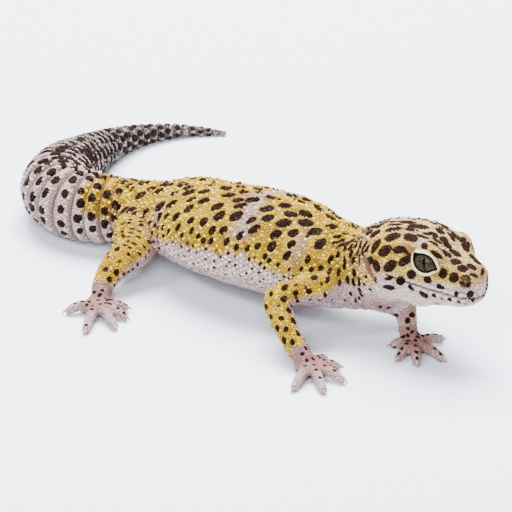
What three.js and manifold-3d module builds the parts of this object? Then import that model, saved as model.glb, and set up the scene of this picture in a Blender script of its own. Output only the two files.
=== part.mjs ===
// A life-size leopard gecko (Eublepharis macularius) standing on all fours with its tail curled round.
// Millimetres, +Z up, +X along the trunk towards the head. The floor is z = 0.
import * as THREE from 'three';
import { mergeVertices } from 'three/addons/utils/BufferGeometryUtils.js';
import Module from 'manifold-3d';

const wasm = await Module();
wasm.setup();

// ---------------------------------------------------------------- driving dimensions

const GAP = 0.3; // clear width of every parting cut
const FLOOR = 0;

// The head has its own frame: x from the ear line to the snout, y to the gecko's left, z up.
const HEAD = { at: [37.6, 8.2, 21.6], yaw: -10, pitch: 3, roll: -3.5 };

// Head sections from neck to snout: [x, half width, height above the axis, depth below it]
const HEAD_SECTIONS = [
  [-9, 8.4, 6.0, 10.4],
  [-5, 10.0, 7.8, 11.2],
  [0, 11.4, 9.2, 11.0],
  [5, 11.9, 9.9, 10.0],
  [10.5, 10.9, 10.0, 9.0],
  [15, 9.3, 8.9, 8.4],
  [19, 7.7, 6.7, 7.7],
  [22.4, 6.5, 5.3, 7.2],
  [25, 5.2, 4.1, 6.4],
  [26.6, 3.7, 2.8, 4.9],
  [27.2, 2.0, 1.5, 2.8],
];

const HEAD_SQUARE = 2.35; // above 2 the sections turn boxier than an ellipse

const EYE = { at: [14.8, 5.2, 3.6], radius: 3.8, opening: [3.8, 2.6], forward: 20, upward: 18, slant: 22 };
const LIDS = { at: [15.5, 5.3, 3.5], reach: 4.5 }; // the swell that carries the lids
const EAR = { at: [-0.3, 11.3, 0.4], size: [0.9, 1.6, 1.9] };
const NOSTRIL = { at: [25.2, 3.8, 0.8], radius: 0.55 };
const MOUTH = [ // the mouth line in side view, then down behind the jaw
  [34, -4.0], [26.5, -4.2], [21, -4.2], [15, -3.2], [9, -1.4], [6, -3.0], [4.5, -14], [34, -14],
];

// Body sections from the neck to the tail's tip: [x, y, z, half width, height above, depth below]
const BODY_SECTIONS = [
  [40, 7.4, 20.5, 8.0, 5.5, 10.4],
  [36, 7.6, 19.5, 9.8, 6.2, 13.8],
  [30.5, 7.6, 18, 10.4, 7.6, 12.8],
  [24, 6.0, 16.2, 11.6, 9.6, 11.2],
  [16, 4.6, 15.8, 13.2, 11.5, 11.7],
  [7, 5.2, 15.8, 14.8, 12.9, 11.9],
  [-4, 5.8, 15.2, 15.6, 12.7, 11.6],
  [-16, 6.4, 14.4, 15.0, 11.7, 10.9],
  [-28, 8.0, 12.6, 12.0, 10.0, 9.1],
  [-38.5, 9.6, 11.0, 9.2, 8.8, 8.1],
  [-46, 9.6, 10.0, 8.4, 8.4, 7.9],
  [-54, 7.6, 9.3, 9.2, 9.1, 8.6],
  [-62, 6.8, 9.2, 9.5, 9.2, 9.0],
  [-70.3, 11, 8.8, 9.3, 8.9, 9.0],
  [-76.4, 22, 8.0, 8.2, 7.8, 8.2],
  [-79.5, 35, 6.2, 6.2, 6.2, 6.4],
  [-81.5, 49.8, 4.2, 4.2, 4.3, 4.4],
  [-79.8, 61.4, 2.9, 2.9, 2.9, 3.1],
  [-74.8, 70.5, 1.9, 1.9, 2.0, 2.0],
  [-68.6, 76.2, 1.1, 1.15, 1.2, 1.2],
  [-64.4, 78.8, 0.8, 0.55, 0.55, 0.7],
];

// Places of the parting cuts: the index of a body section, and the radius of the cutting disc
const BODY_CUTS = { neck: [2, 16], chest: [3.5, 24], loin: [8, 24], vent: [10, 16], curl: [13, 16], taper: [15.4, 12] };

// Each limb: joints from inside the body outwards, each with its radius
const LIMBS = {
  front_right: {
    joints: [[25, 0, 15.5, 4.6], [24.5, -5.5, 15.2, 4.2], [20, -10.8, 14.4, 3.5], [16.4, -14.6, 12.6, 3.2],
      [20.0, -17.4, 9.7, 3.2], [24.0, -19.6, 6.8, 2.9], [28.0, -21.4, 4.1, 2.7], [31.2, -22.4, 2.4, 2.4]],
    cuts: [3, 6],
    palm: { at: [32.0, -22.4, 1.5], size: [4.2, 4.2, 2.0] },
    toes: [[90, 6.7], [45, 7.3], [-3, 10.4], [-40, 12.4], [-77, 11.4]],
  },
  front_left: {
    joints: [[23, 9, 15.5, 4.6], [24.5, 15, 15.6, 4.0], [30, 18, 15.0, 3.5], [34.8, 16.4, 12.8, 3.2],
      [37.6, 11.0, 9.6, 3.1], [40.8, 6.8, 6.4, 2.7], [43.2, 4.0, 3.9, 2.4], [45.4, 2.9, 2.3, 2.2]],
    cuts: [3, 6],
    palm: { at: [46.0, 2.4, 1.5], size: [4.1, 4.1, 2.0] },
    toes: [[208, 5.8], [-87, 8.1], [-52, 9.6], [-10, 10], [65, 8.4]],
  },
  hind_right: {
    joints: [[-40, 6, 11, 6.4], [-36.6, 0, 10.4, 6.0], [-33.6, -5.4, 9.4, 5.4], [-32.8, -9.5, 8.6, 4.6],
      [-33.9, -12.6, 7.0, 3.9], [-34.0, -16.4, 5.0, 3.2], [-33.2, -20.1, 3.4, 2.7], [-31.8, -23.2, 2.2, 2.3]],
    cuts: [3.4, 6],
    palm: { at: [-30.9, -25.4, 1.5], size: [4.1, 4.5, 2.0] },
    toes: [[34, 7.8], [-1, 9.4], [-31, 12], [-66, 13.3], [-131, 7.9]],
  },
  hind_left: {
    joints: [[-40, 12, 11, 6.2], [-36.5, 17.5, 12.6, 5.6], [-32, 22, 13.6, 4.8], [-28, 25.6, 13.2, 3.9],
      [-28.6, 28.6, 10.4, 3.4], [-30.4, 30.6, 7.0, 3.0], [-32, 32.2, 4.0, 2.7], [-32.4, 33.8, 2.4, 2.3]],
    cuts: [3, 6],
    palm: { at: [-31.8, 35.0, 1.5], size: [4.1, 4.5, 2.0] },
    toes: [[-24, 7.8], [6, 9.4], [33, 12], [64, 13.3], [128, 8]],
  },
};

// Facets around and along each kind of form
const DETAIL = {
  bodyAround: 18,
  bodyAlong: 40,
  headAlong: 14,
  eye: [11, 7],
  dent: [6, 4],
  limb: [8, 13],
  palm: [9, 5],
  toe: [6, 4],
  claw: [4, 3],
};

const TOE = { start: 1.8, knuckle: 2.2, radii: [1.45, 1.35, 1.25, 0.95], tipHeight: 0.9 };
const CLAW = { length: 1.05, radius: 0.42, drop: 0.5 };

// ---------------------------------------------------------------- materials

const skin = (name, color) => new THREE.MeshStandardMaterial({ name, color, roughness: 0.62, metalness: 0 });
const MATERIALS = {
  back: skin('yellow spotted skin', 0xd9b957),
  head: skin('head skin', 0xd8c489),
  pale: skin('pale underside skin', 0xe0d4d6),
  tail: skin('banded tail skin', 0xb7a7aa),
  foot: skin('pink foot skin', 0xd6b1a8),
  eye: new THREE.MeshStandardMaterial({ name: 'eye', color: 0x4b4639, roughness: 0.08, metalness: 0 }),
  claw: new THREE.MeshStandardMaterial({ name: 'claw horn', color: 0xb9a998, roughness: 0.35, metalness: 0 }),
};

// ---------------------------------------------------------------- solids

const FLIPPED = [0, 2, 1];

/** Turns a closed three.js geometry into a manifold solid, with its faces pointing out. */
function toSolid(geometry) {
  const bare = new THREE.BufferGeometry();
  bare.setAttribute('position', geometry.getAttribute('position'));
  bare.setIndex(geometry.getIndex());
  const merged = mergeVertices(bare, 1e-4);
  const index = merged.getIndex().array;
  const faces = [];
  for (let i = 0; i < index.length; i += 3) {
    const [a, b, c] = [index[i], index[i + 1], index[i + 2]];
    if (a !== b && b !== c && c !== a) faces.push(a, b, c);
  }
  const build = (tri) => new wasm.Manifold(new wasm.Mesh({
    numProp: 3,
    vertProperties: new Float32Array(merged.getAttribute('position').array),
    triVerts: new Uint32Array(tri),
  }));
  const solid = build(faces);
  if (solid.volume() > 0) return solid;
  return build(faces.map((_, i) => faces[i - (i % 3) + FLIPPED[i % 3]]));
}

/** A named mesh from a manifold solid. */
function toMesh(name, solid, material) {
  const { vertProperties, triVerts } = solid.getMesh();
  const geometry = new THREE.BufferGeometry();
  geometry.setAttribute('position', new THREE.BufferAttribute(new Float32Array(vertProperties), 3));
  geometry.setIndex(new THREE.BufferAttribute(new Uint32Array(triVerts), 1));
  geometry.computeVertexNormals();
  const mesh = new THREE.Mesh(geometry, material);
  mesh.name = name;
  return mesh;
}

/** A sphere bent along a run of sections {at, half, up, down}, level from side to side. */
function loft(sections, around, rows, grow = 0, square = 2) {
  const path = new THREE.CatmullRomCurve3(sections.map((s) => new THREE.Vector3(...s.at)), false, 'centripetal');
  const girth = new THREE.CatmullRomCurve3(sections.map((s) => new THREE.Vector3(s.half, s.up, s.down)));
  const geometry = new THREE.SphereGeometry(1, around, rows);
  const position = geometry.getAttribute('position');
  const uv = geometry.getAttribute('uv');
  const vertical = new THREE.Vector3(0, 0, 1);
  for (let i = 0; i < position.count; i += 1) {
    const t = 1 - uv.getY(i);
    const end = t < 1e-6 || t > 1 - 1e-6;
    const angle = uv.getX(i) * 2 * Math.PI;
    const point = path.getPoint(t);
    const along = path.getTangent(t);
    const side = new THREE.Vector3().crossVectors(vertical, along).normalize();
    const above = new THREE.Vector3().crossVectors(along, side);
    const size = girth.getPoint(t);
    const reach = end ? 0 : 1;
    const swell = (Math.abs(Math.cos(angle)) ** square + Math.abs(Math.sin(angle)) ** square) ** (-1 / square);
    const across = swell * Math.cos(angle) * (size.x + grow) * reach;
    const rise = swell * Math.sin(angle) * ((Math.sin(angle) > 0 ? size.y : size.z) + grow) * reach;
    point.addScaledVector(side, across).addScaledVector(above, rise);
    if (end) point.addScaledVector(along, t > 0.5 ? grow : -grow);
    position.setXYZ(i, point.x, point.y, point.z);
  }
  return toSolid(geometry);
}

/** A round tube through points [x, y, z, radius], with its sections turned as little as possible. */
function limbTube(joints, around, rows, grow = 0) {
  const path = new THREE.CatmullRomCurve3(joints.map((j) => new THREE.Vector3(j[0], j[1], j[2])), false, 'centripetal');
  const radii = new THREE.CatmullRomCurve3(joints.map((j) => new THREE.Vector3(j[3], 0, 0)));
  const geometry = new THREE.SphereGeometry(1, around, rows);
  const position = geometry.getAttribute('position');
  const uv = geometry.getAttribute('uv');
  const frames = [];
  let side = new THREE.Vector3().crossVectors(new THREE.Vector3(0.3, 0.1, 1), path.getTangent(0)).normalize();
  for (let row = 0; row <= rows; row += 1) {
    const along = path.getTangent(row / rows);
    side = side.clone().addScaledVector(along, -side.dot(along)).normalize();
    frames.push({ side, above: new THREE.Vector3().crossVectors(along, side), along });
  }
  for (let i = 0; i < position.count; i += 1) {
    const t = 1 - uv.getY(i);
    const row = Math.round(t * rows);
    const reach = row === 0 || row === rows ? 0 : radii.getPoint(t).x + grow;
    const angle = uv.getX(i) * 2 * Math.PI;
    const point = path.getPoint(t);
    point.addScaledVector(frames[row].side, Math.cos(angle) * reach);
    point.addScaledVector(frames[row].above, Math.sin(angle) * reach);
    if (row === 0) point.addScaledVector(frames[row].along, -radii.getPoint(0).x * 0.4 - grow);
    if (row === rows) point.addScaledVector(frames[row].along, radii.getPoint(1).x * 0.4 + grow);
    position.setXYZ(i, point.x, point.y, point.z);
  }
  return toSolid(geometry);
}

/** An ellipsoid at a place, optionally moved by a matrix. */
function ellipsoid(at, size, matrix, detail) {
  const geometry = new THREE.SphereGeometry(1, ...detail);
  geometry.rotateX(Math.PI / 2);
  geometry.scale(...size);
  geometry.translate(...at);
  if (matrix) geometry.applyMatrix4(matrix);
  return toSolid(geometry);
}

/** A thin disc square to a run of points, for a parting cut. */
function cutDisc(points, index, radius) {
  const path = new THREE.CatmullRomCurve3(points.map((p) => new THREE.Vector3(p[0], p[1], p[2])), false, 'centripetal');
  const t = index / (points.length - 1);
  const geometry = new THREE.CylinderGeometry(radius, radius, GAP, 24);
  const turn = new THREE.Quaternion().setFromUnitVectors(new THREE.Vector3(0, 1, 0), path.getTangent(t));
  geometry.applyQuaternion(turn);
  geometry.translate(...path.getPoint(t).toArray());
  return toSolid(geometry);
}

/** The pieces of a solid, largest first, without slivers. */
function pieces(solid) {
  return solid.decompose().filter((p) => p.volume() > 0.05).sort((a, b) => b.volume() - a.volume());
}

/** The piece whose middle is nearest to a place. */
function nearest(list, at) {
  const distance = (piece) => {
    const { min, max } = piece.boundingBox();
    return Math.hypot(...at.map((value, axis) => (min[axis] + max[axis]) / 2 - value));
  };
  return [...list].sort((a, b) => distance(a) - distance(b))[0];
}

// ---------------------------------------------------------------- head

const radians = THREE.MathUtils.degToRad;
const headFrame = new THREE.Matrix4().compose(
  new THREE.Vector3(...HEAD.at),
  new THREE.Quaternion().setFromEuler(
    new THREE.Euler(radians(HEAD.roll), radians(-HEAD.pitch), radians(HEAD.yaw), 'ZYX'),
  ),
  new THREE.Vector3(1, 1, 1),
);
const inHead = (at) => new THREE.Vector3(...at).applyMatrix4(headFrame).toArray();
const SIDES = [['right', -1], ['left', 1]];
const MIRROR = new THREE.Matrix4().makeScale(1, -1, 1);
const onSide = (at, sign) => [at[0], at[1] * sign, at[2]];

/** The plain head form, before sockets and the mouth. */
function headForm(grow = 0) {
  const sections = HEAD_SECTIONS.map(([x, half, up, down]) => ({ at: [x, 0, 0], half, up, down }));
  let form = loft(sections, DETAIL.bodyAround, DETAIL.headAlong, grow, HEAD_SQUARE);
  for (const [, sign] of SIDES) {
    const reach = LIDS.reach + grow;
    form = form.add(ellipsoid(onSide(LIDS.at, sign), [reach + 0.3, reach, reach], null, DETAIL.eye));
  }
  return form.transform(headFrame.elements);
}

/** The almond between the lids, looking out, forward and up from the eye's middle. */
function lidOpening(sign) {
  const [wide, high] = EYE.opening;
  const geometry = new THREE.SphereGeometry(1, ...DETAIL.eye);
  geometry.rotateX(Math.PI / 2);
  geometry.scale(wide, 3, high);
  geometry.rotateY(radians(EYE.slant));
  geometry.translate(0, EYE.radius, 0);
  geometry.rotateX(radians(EYE.upward));
  geometry.rotateZ(radians(-EYE.forward));
  if (sign < 0) geometry.applyMatrix4(MIRROR);
  geometry.translate(...onSide(EYE.at, sign));
  geometry.applyMatrix4(headFrame);
  return toSolid(geometry);
}

/** Cuts the eye sockets, lid openings, ears and nostrils into the head. */
function carveHead(form) {
  let head = form;
  for (const [, sign] of SIDES) {
    const socket = EYE.radius + GAP;
    head = head.subtract(ellipsoid(onSide(EYE.at, sign), [socket, socket, socket], headFrame, DETAIL.eye));
    head = head.subtract(lidOpening(sign));
    head = head.subtract(ellipsoid(onSide(EAR.at, sign), EAR.size, headFrame, DETAIL.dent));
    const nostril = Array(3).fill(NOSTRIL.radius);
    head = head.subtract(ellipsoid(onSide(NOSTRIL.at, sign), nostril, headFrame, DETAIL.dent));
  }
  return head;
}

/** The wedge of space below the mouth line. */
function jawWedge(grow = 0) {
  const shape = new THREE.Shape(MOUTH.map(([x, z]) => new THREE.Vector2(x - (x < 20 ? grow : 0), z + grow)));
  const width = 40;
  const geometry = new THREE.ExtrudeGeometry(shape, { depth: width, bevelEnabled: false });
  geometry.rotateX(Math.PI / 2);
  geometry.translate(0, width / 2, 0);
  geometry.applyMatrix4(headFrame);
  return toSolid(geometry);
}

// ---------------------------------------------------------------- body

const bodyPoints = BODY_SECTIONS.map(([x, y, z]) => [x, y, z]);

function bodyForm(grow = 0) {
  const sections = BODY_SECTIONS.map(([x, y, z, half, up, down]) => ({ at: [x, y, z], half, up, down }));
  return loft(sections, DETAIL.bodyAround, DETAIL.bodyAlong, grow);
}

// ---------------------------------------------------------------- limbs

/** Points along one toe, from the palm to the tip: [x, y, z, radius]. */
function toePoints(palm, [degrees, length]) {
  const turn = radians(degrees);
  const shares = [TOE.start / length, 0.42, 0.72, 1];
  const heights = [palm.at[2] + 0.4, TOE.knuckle, TOE.knuckle * 0.82, TOE.tipHeight];
  return shares.map((share, i) => [
    palm.at[0] + Math.cos(turn) * length * share,
    palm.at[1] + Math.sin(turn) * length * share,
    heights[i],
    TOE.radii[i],
  ]);
}

/** Points along one claw, which leaves the toe's tip and hooks down. */
function clawPoints(palm, toe) {
  const [degrees, length] = toe;
  const turn = radians(degrees);
  const shares = [-0.45, 0, 0.6, 1];
  return shares.map((share, i) => [
    palm.at[0] + Math.cos(turn) * (length + CLAW.length * share),
    palm.at[1] + Math.sin(turn) * (length + CLAW.length * share),
    TOE.tipHeight + 0.3 - CLAW.drop * Math.max(share, 0) ** 2 * 1.4,
    CLAW.radius * [0.8, 1, 0.8, 0.35][i],
  ]);
}

/** One limb: upper part, lower part, foot with its toes, and the claws. */
function limb(name, { joints, cuts, palm, toes }, keepClear) {
  let form = limbTube(joints, ...DETAIL.limb).add(ellipsoid(palm.at, palm.size, null, DETAIL.palm));
  const claws = [];
  for (const toe of toes) {
    form = form.add(limbTube(toePoints(palm, toe), ...DETAIL.toe));
  }
  for (const toe of toes) {
    claws.push(limbTube(clawPoints(palm, toe), ...DETAIL.claw));
    form = form.subtract(limbTube(clawPoints(palm, toe), ...DETAIL.claw, GAP));
  }
  form = form.subtract(keepClear);
  for (const index of cuts) form = form.subtract(cutDisc(joints, index, joints[Math.round(index)][3] * 1.7));
  return { name, parts: pieces(form), claws, joints, palm, cuts };
}

// ---------------------------------------------------------------- the gecko

const room = toSolid(new THREE.BoxGeometry(400, 400, 100).translate(0, 0, 50 + FLOOR));
const onFloor = (solid) => solid.intersect(room);

const gecko = new THREE.Group();
gecko.name = 'leopard_gecko';

function addNode(name, solid, material) {
  gecko.add(toMesh(name, onFloor(solid), material));
}

const wholeBody = headForm().add(bodyForm());
const grownBody = headForm(GAP).add(bodyForm(GAP));

let carved = carveHead(wholeBody);
for (const [index, radius] of Object.values(BODY_CUTS)) {
  carved = carved.subtract(cutDisc(bodyPoints, index, radius));
}
const bodyPieces = pieces(carved);
const BODY_NODES = [
  ['head', inHead([12, 0, 0]), 'head'],
  ['neck', bodyPoints[3], 'back'],
  ['trunk', bodyPoints[6], 'back'],
  ['hips', bodyPoints[9], 'back'],
  ['tail_base', bodyPoints[11], 'tail'],
  ['tail_middle', bodyPoints[14], 'tail'],
  ['tail_tip', bodyPoints[18], 'tail'],
];
for (const [name, at, material] of BODY_NODES) {
  const piece = nearest(bodyPieces, at);
  if (name === 'head') {
    addNode('head', piece.subtract(jawWedge(GAP)), MATERIALS.head);
    addNode('lower_jaw', pieces(piece.intersect(jawWedge()))[0], MATERIALS.pale);
  } else {
    addNode(name, piece, MATERIALS[material]);
  }
}

for (const [side, sign] of SIDES) {
  const size = Array(3).fill(EYE.radius);
  addNode(`eye_${side}`, ellipsoid(onSide(EYE.at, sign), size, headFrame, DETAIL.eye), MATERIALS.eye);
}

for (const [name, plan] of Object.entries(LIMBS)) {
  const { parts, claws, joints, palm, cuts } = limb(name, plan, grownBody);
  const middle = (a, b) => joints[a].slice(0, 3).map((value, axis) => (value + joints[b][axis]) / 2);
  addNode(`${name}_upper`, nearest(parts, middle(1, 3)), MATERIALS.back);
  addNode(`${name}_lower`, nearest(parts, middle(3, Math.floor(cuts[1]))), MATERIALS.back);
  addNode(`${name}_foot`, nearest(parts, palm.at), MATERIALS.foot);
  claws.forEach((claw, i) => addNode(`${name}_claw_${i + 1}`, claw, MATERIALS.claw));
}

// The origin is the middle of the model's box, on the floor.
const box = new THREE.Box3().setFromObject(gecko);
const centre = box.getCenter(new THREE.Vector3());
gecko.position.set(-centre.x, -centre.y, 0);
gecko.updateMatrixWorld(true);

export default gecko;
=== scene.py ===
"""The looks of a life-size leopard gecko: one spotted skin with its scales, two lidded eyes and the claws.

Shapes are worked out in millimetres on the bench frame, in which the animal's sections are set: +X runs
along the trunk to the head, +Y to the animal's left and +Z up, with the floor at z = 0. to_metres() takes
bench millimetres to the row frame. Round the trunk and tail, "turn" is in degrees from the top, positive
to the animal's right.
"""
import logging
import math
from dataclasses import dataclass, field
from enum import Enum
from typing import Callable, Iterator, Sequence

import bmesh
import bpy
import numpy as np
from mathutils.bvhtree import BVHTree
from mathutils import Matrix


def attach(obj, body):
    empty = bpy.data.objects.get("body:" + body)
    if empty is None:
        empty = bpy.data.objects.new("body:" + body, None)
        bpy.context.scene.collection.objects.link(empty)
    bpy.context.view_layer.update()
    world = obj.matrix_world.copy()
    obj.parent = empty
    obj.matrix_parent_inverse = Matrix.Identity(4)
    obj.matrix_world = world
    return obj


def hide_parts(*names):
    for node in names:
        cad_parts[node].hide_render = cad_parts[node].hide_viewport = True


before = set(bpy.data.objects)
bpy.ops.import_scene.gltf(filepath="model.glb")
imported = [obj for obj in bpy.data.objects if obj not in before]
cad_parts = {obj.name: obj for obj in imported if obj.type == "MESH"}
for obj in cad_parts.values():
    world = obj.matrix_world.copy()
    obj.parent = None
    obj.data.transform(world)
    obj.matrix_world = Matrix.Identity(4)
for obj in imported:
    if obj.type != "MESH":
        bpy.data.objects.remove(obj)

LOG = logging.getLogger("gecko")
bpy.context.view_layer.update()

Array = np.ndarray
MM = 0.001
SHIFT = np.array([10.6941, -20.1269, 0.0])  # from the bench frame to the row frame
UP = np.array([0.0, 0.0, 1.0])
COAT_DEPTH = 0.2  # how far the bare skin lies inside the solid forms
SIDES = (("right", -1), ("left", 1))
NO_LIP = 9.0  # the distance from the lips that stands for any place away from them


# ---------------------------------------------------------------- small sums


def to_metres(points: Array) -> Array:
    """Bench millimetres to the row frame's metres."""
    return (np.asarray(points, float) + SHIFT) * MM


def to_bench(points: Array) -> Array:
    """The row frame's metres to bench millimetres."""
    return np.asarray(points, float) / MM - SHIFT


def unit(vectors: Array) -> Array:
    """Vectors brought to length one along the last axis."""
    length = np.linalg.norm(vectors, axis=-1, keepdims=True)
    return vectors / np.maximum(length, 1e-9)


def ease(values: Array, low: float, high: float) -> Array:
    """A smooth step from 0 at low to 1 at high, which may be the smaller of the two.

    Args:
        values: what is compared.
        low: where the step starts.
        high: where the step ends.

    Returns:
        Shares from 0 to 1.
    """
    share = np.clip((values - low) / (high - low), 0.0, 1.0)
    return share * share * (3 - 2 * share)


def bump(values: Array, middle: float, width: float) -> Array:
    """A soft bell of height one round middle, about width wide to each side."""
    return np.exp(-(((values - middle) / width) ** 2))


def ripple(points: Array, size: float, seed: int) -> Array:
    """A smooth seeded unevenness through space.

    Args:
        points: places in millimetres.
        size: rough width of one swell, in millimetres.
        seed: picks the pattern.

    Returns:
        Values about -1 to 1.
    """
    random = np.random.default_rng(seed)
    waves = unit(random.normal(size=(7, 3))) * random.uniform(0.7, 1.5, (7, 1)) * math.pi / size
    phases = random.uniform(0, 2 * math.pi, 7)
    return np.sin(points @ waves.T + phases).sum(1) / 3.2


def turn_about(axis: int, degrees: float) -> Array:
    """The matrix of a turn about one axis.

    Args:
        axis: 0, 1 or 2 for x, y or z.
        degrees: how far, turning left about the axis.

    Returns:
        Three rows of three.
    """
    angle = math.radians(degrees)
    first, second = (axis + 1) % 3, (axis + 2) % 3
    made = np.eye(3)
    made[first, first] = made[second, second] = math.cos(angle)
    made[second, first] = math.sin(angle)
    made[first, second] = -math.sin(angle)
    return made


def catmull(rows: Array, shares: Array) -> Array:
    """Points on a centripetal Catmull-Rom curve.

    Args:
        rows: the points that the curve goes through, one a row.
        shares: places along the curve, from 0 to 1, with the rows evenly apart.

    Returns:
        One row for each share.
    """
    count = len(rows)
    place = np.clip(shares, 0, 1) * (count - 1)
    span = np.minimum(place.astype(int), count - 2)
    w = (place - span)[:, None]
    padded = np.vstack([2 * rows[0] - rows[1], rows, 2 * rows[-1] - rows[-2]])
    p0, p1, p2, p3 = (padded[span + k] for k in range(4))
    gaps = [np.linalg.norm(b - a, axis=1)[:, None] ** 0.5 for a, b in ((p0, p1), (p1, p2), (p2, p3))]
    d1 = np.where(gaps[1] < 1e-4, 1.0, gaps[1])
    d0 = np.where(gaps[0] < 1e-4, d1, gaps[0])
    d2 = np.where(gaps[2] < 1e-4, d1, gaps[2])
    t1 = ((p1 - p0) / d0 - (p2 - p0) / (d0 + d1) + (p2 - p1) / d1) * d1
    t2 = ((p2 - p1) / d1 - (p3 - p1) / (d1 + d2) + (p3 - p2) / d2) * d1
    c2 = -3 * p1 + 3 * p2 - 2 * t1 - t2
    c3 = 2 * p1 - 2 * p2 + t1 + t2
    return p1 + t1 * w + c2 * w**2 + c3 * w**3


def bricks(rows: Sequence[float], low: float, high: float, pace: float) -> Iterator[tuple[float, float]]:
    """Places in rows, with every other row half a step on.

    Args:
        rows: where the rows are.
        low: where each row starts.
        high: where it ends.
        pace: the step along it.

    Yields:
        The row's place and the place along it.
    """
    for number, row in enumerate(rows):
        for place in np.arange(low + (number % 2) * pace / 2, high, pace):
            yield row, place


@dataclass
class RawMesh:
    """Points and faces of a mesh that is still being put together."""

    points: Array
    faces: list[tuple[int, ...]]

    @staticmethod
    def joined(parts: Sequence["RawMesh"]) -> "RawMesh":
        """All the parts as one mesh, unmerged.

        Args:
            parts: the meshes.

        Returns:
            One mesh of them all.
        """
        faces: list[tuple[int, ...]] = []
        start = 0
        for part in parts:
            faces += [tuple(i + start for i in face) for face in part.faces]
            start += len(part.points)
        return RawMesh(np.vstack([part.points for part in parts]), faces)


def quads(rings: int, around: int, closed: bool = False) -> list[tuple[int, ...]]:
    """Faces between neighbouring rings of points.

    Args:
        rings: how many rings there are.
        around: how many points each has.
        closed: whether the last ring meets the first.

    Returns:
        The faces, by the points' numbers.
    """
    faces = []
    for i in range(rings if closed else rings - 1):
        low, high = i * around, (i + 1) % rings * around
        for j in range(around):
            k = (j + 1) % around
            faces.append((low + j, low + k, high + k, high + j))
    return faces


def tube_mesh(rings: Array, first: Array, last: Array) -> RawMesh:
    """A closed skin over rings of points.

    Args:
        rings: points by ring, place round the ring, and axis.
        first: the pole before the first ring.
        last: the pole after the last ring.

    Returns:
        The mesh, with its faces pointing out where the rings turn left about their path.
    """
    count, around, _ = rings.shape
    points = np.vstack([rings.reshape(-1, 3), first, last])
    faces = quads(count, around)
    low, high = count * around, count * around + 1
    for j in range(around):
        k = (j + 1) % around
        faces.append((low, k, j))
        faces.append((high, (count - 1) * around + j, (count - 1) * around + k))
    return RawMesh(points, faces)


def ball_mesh(at: Array, size: Array, around: int = 40, rows: int = 24) -> RawMesh:
    """An ellipsoid with its poles up and down.

    Args:
        at: its middle.
        size: its half lengths along x, y and z.
        around: points round each ring.
        rows: rings from pole to pole.

    Returns:
        The closed mesh.
    """
    tilt = np.linspace(0, math.pi, rows + 1)[1:-1, None]
    turn = np.linspace(0, 2 * math.pi, around, endpoint=False)[None, :]
    wide = np.sin(tilt)
    rings = np.stack([wide * np.cos(turn), wide * np.sin(turn), np.cos(tilt) + 0 * turn], -1)
    shape = rings[::-1] * size + at
    return tube_mesh(shape, at - UP * size, at + UP * size)


# ---------------------------------------------------------------- forms under the skin


@dataclass
class Run:
    """A smooth run of stations, closely sampled, in which places near it are found.

    The first three columns of a station are its place; the others are sizes.
    """

    stations: Array
    samples: int
    centre: Array = field(init=False)
    sizes: Array = field(init=False)
    tangent: Array = field(init=False)
    along: Array = field(init=False)

    BATCH = 30000  # how many points are looked up at once

    def __post_init__(self) -> None:
        """Samples the run."""
        shares = np.linspace(0, 1, self.samples)
        self.centre = catmull(self.stations[:, :3], shares)
        self.sizes = catmull(self.stations[:, 3:], shares)
        self.tangent = unit(np.gradient(self.centre, axis=0))
        steps = np.linalg.norm(np.diff(self.centre, axis=0), axis=1)
        self.along = np.concatenate([[0.0], np.cumsum(steps)])

    def reader(self, points: Array) -> Callable[[Array], Array]:
        """Finds the places on the run nearest to points.

        Args:
            points: bench millimetres.

        Returns:
            A function that takes values kept for each sample to those places, between samples.
        """
        index = np.empty(len(points), int)
        share = np.empty(len(points))
        square = (self.centre**2).sum(1)
        for start in range(0, len(points), self.BATCH):
            part = slice(start, start + self.BATCH)
            some = points[part]
            closest = np.argmin(square - 2 * some @ self.centre.T, axis=1)
            best = np.full(len(some), np.inf)
            for offset in (-1, 0):
                low = np.clip(closest + offset, 0, self.samples - 2)
                step = self.centre[low + 1] - self.centre[low]
                away = some - self.centre[low]
                w = np.clip((away * step).sum(1) / (step * step).sum(1), 0, 1)
                miss = ((away - step * w[:, None]) ** 2).sum(1)
                better = miss < best
                best[better] = miss[better]
                index[part][better] = low[better]
                share[part][better] = w[better]

        def read(values: Array) -> Array:
            """The values at the nearest places."""
            w = share[:, None] if values.ndim > 1 else share
            return values[index] * (1 - w) + values[index + 1] * w

        return read

    def tangent_at(self, along: Array) -> Array:
        """The ways on at lengths along the run."""
        return np.stack([np.interp(along, self.along, axis) for axis in self.tangent.T], 1)

    def at(self, along: float) -> float:
        """The sample number, with a fraction, at a length along the run."""
        return float(np.interp(along, self.along, np.arange(self.samples)))


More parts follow.
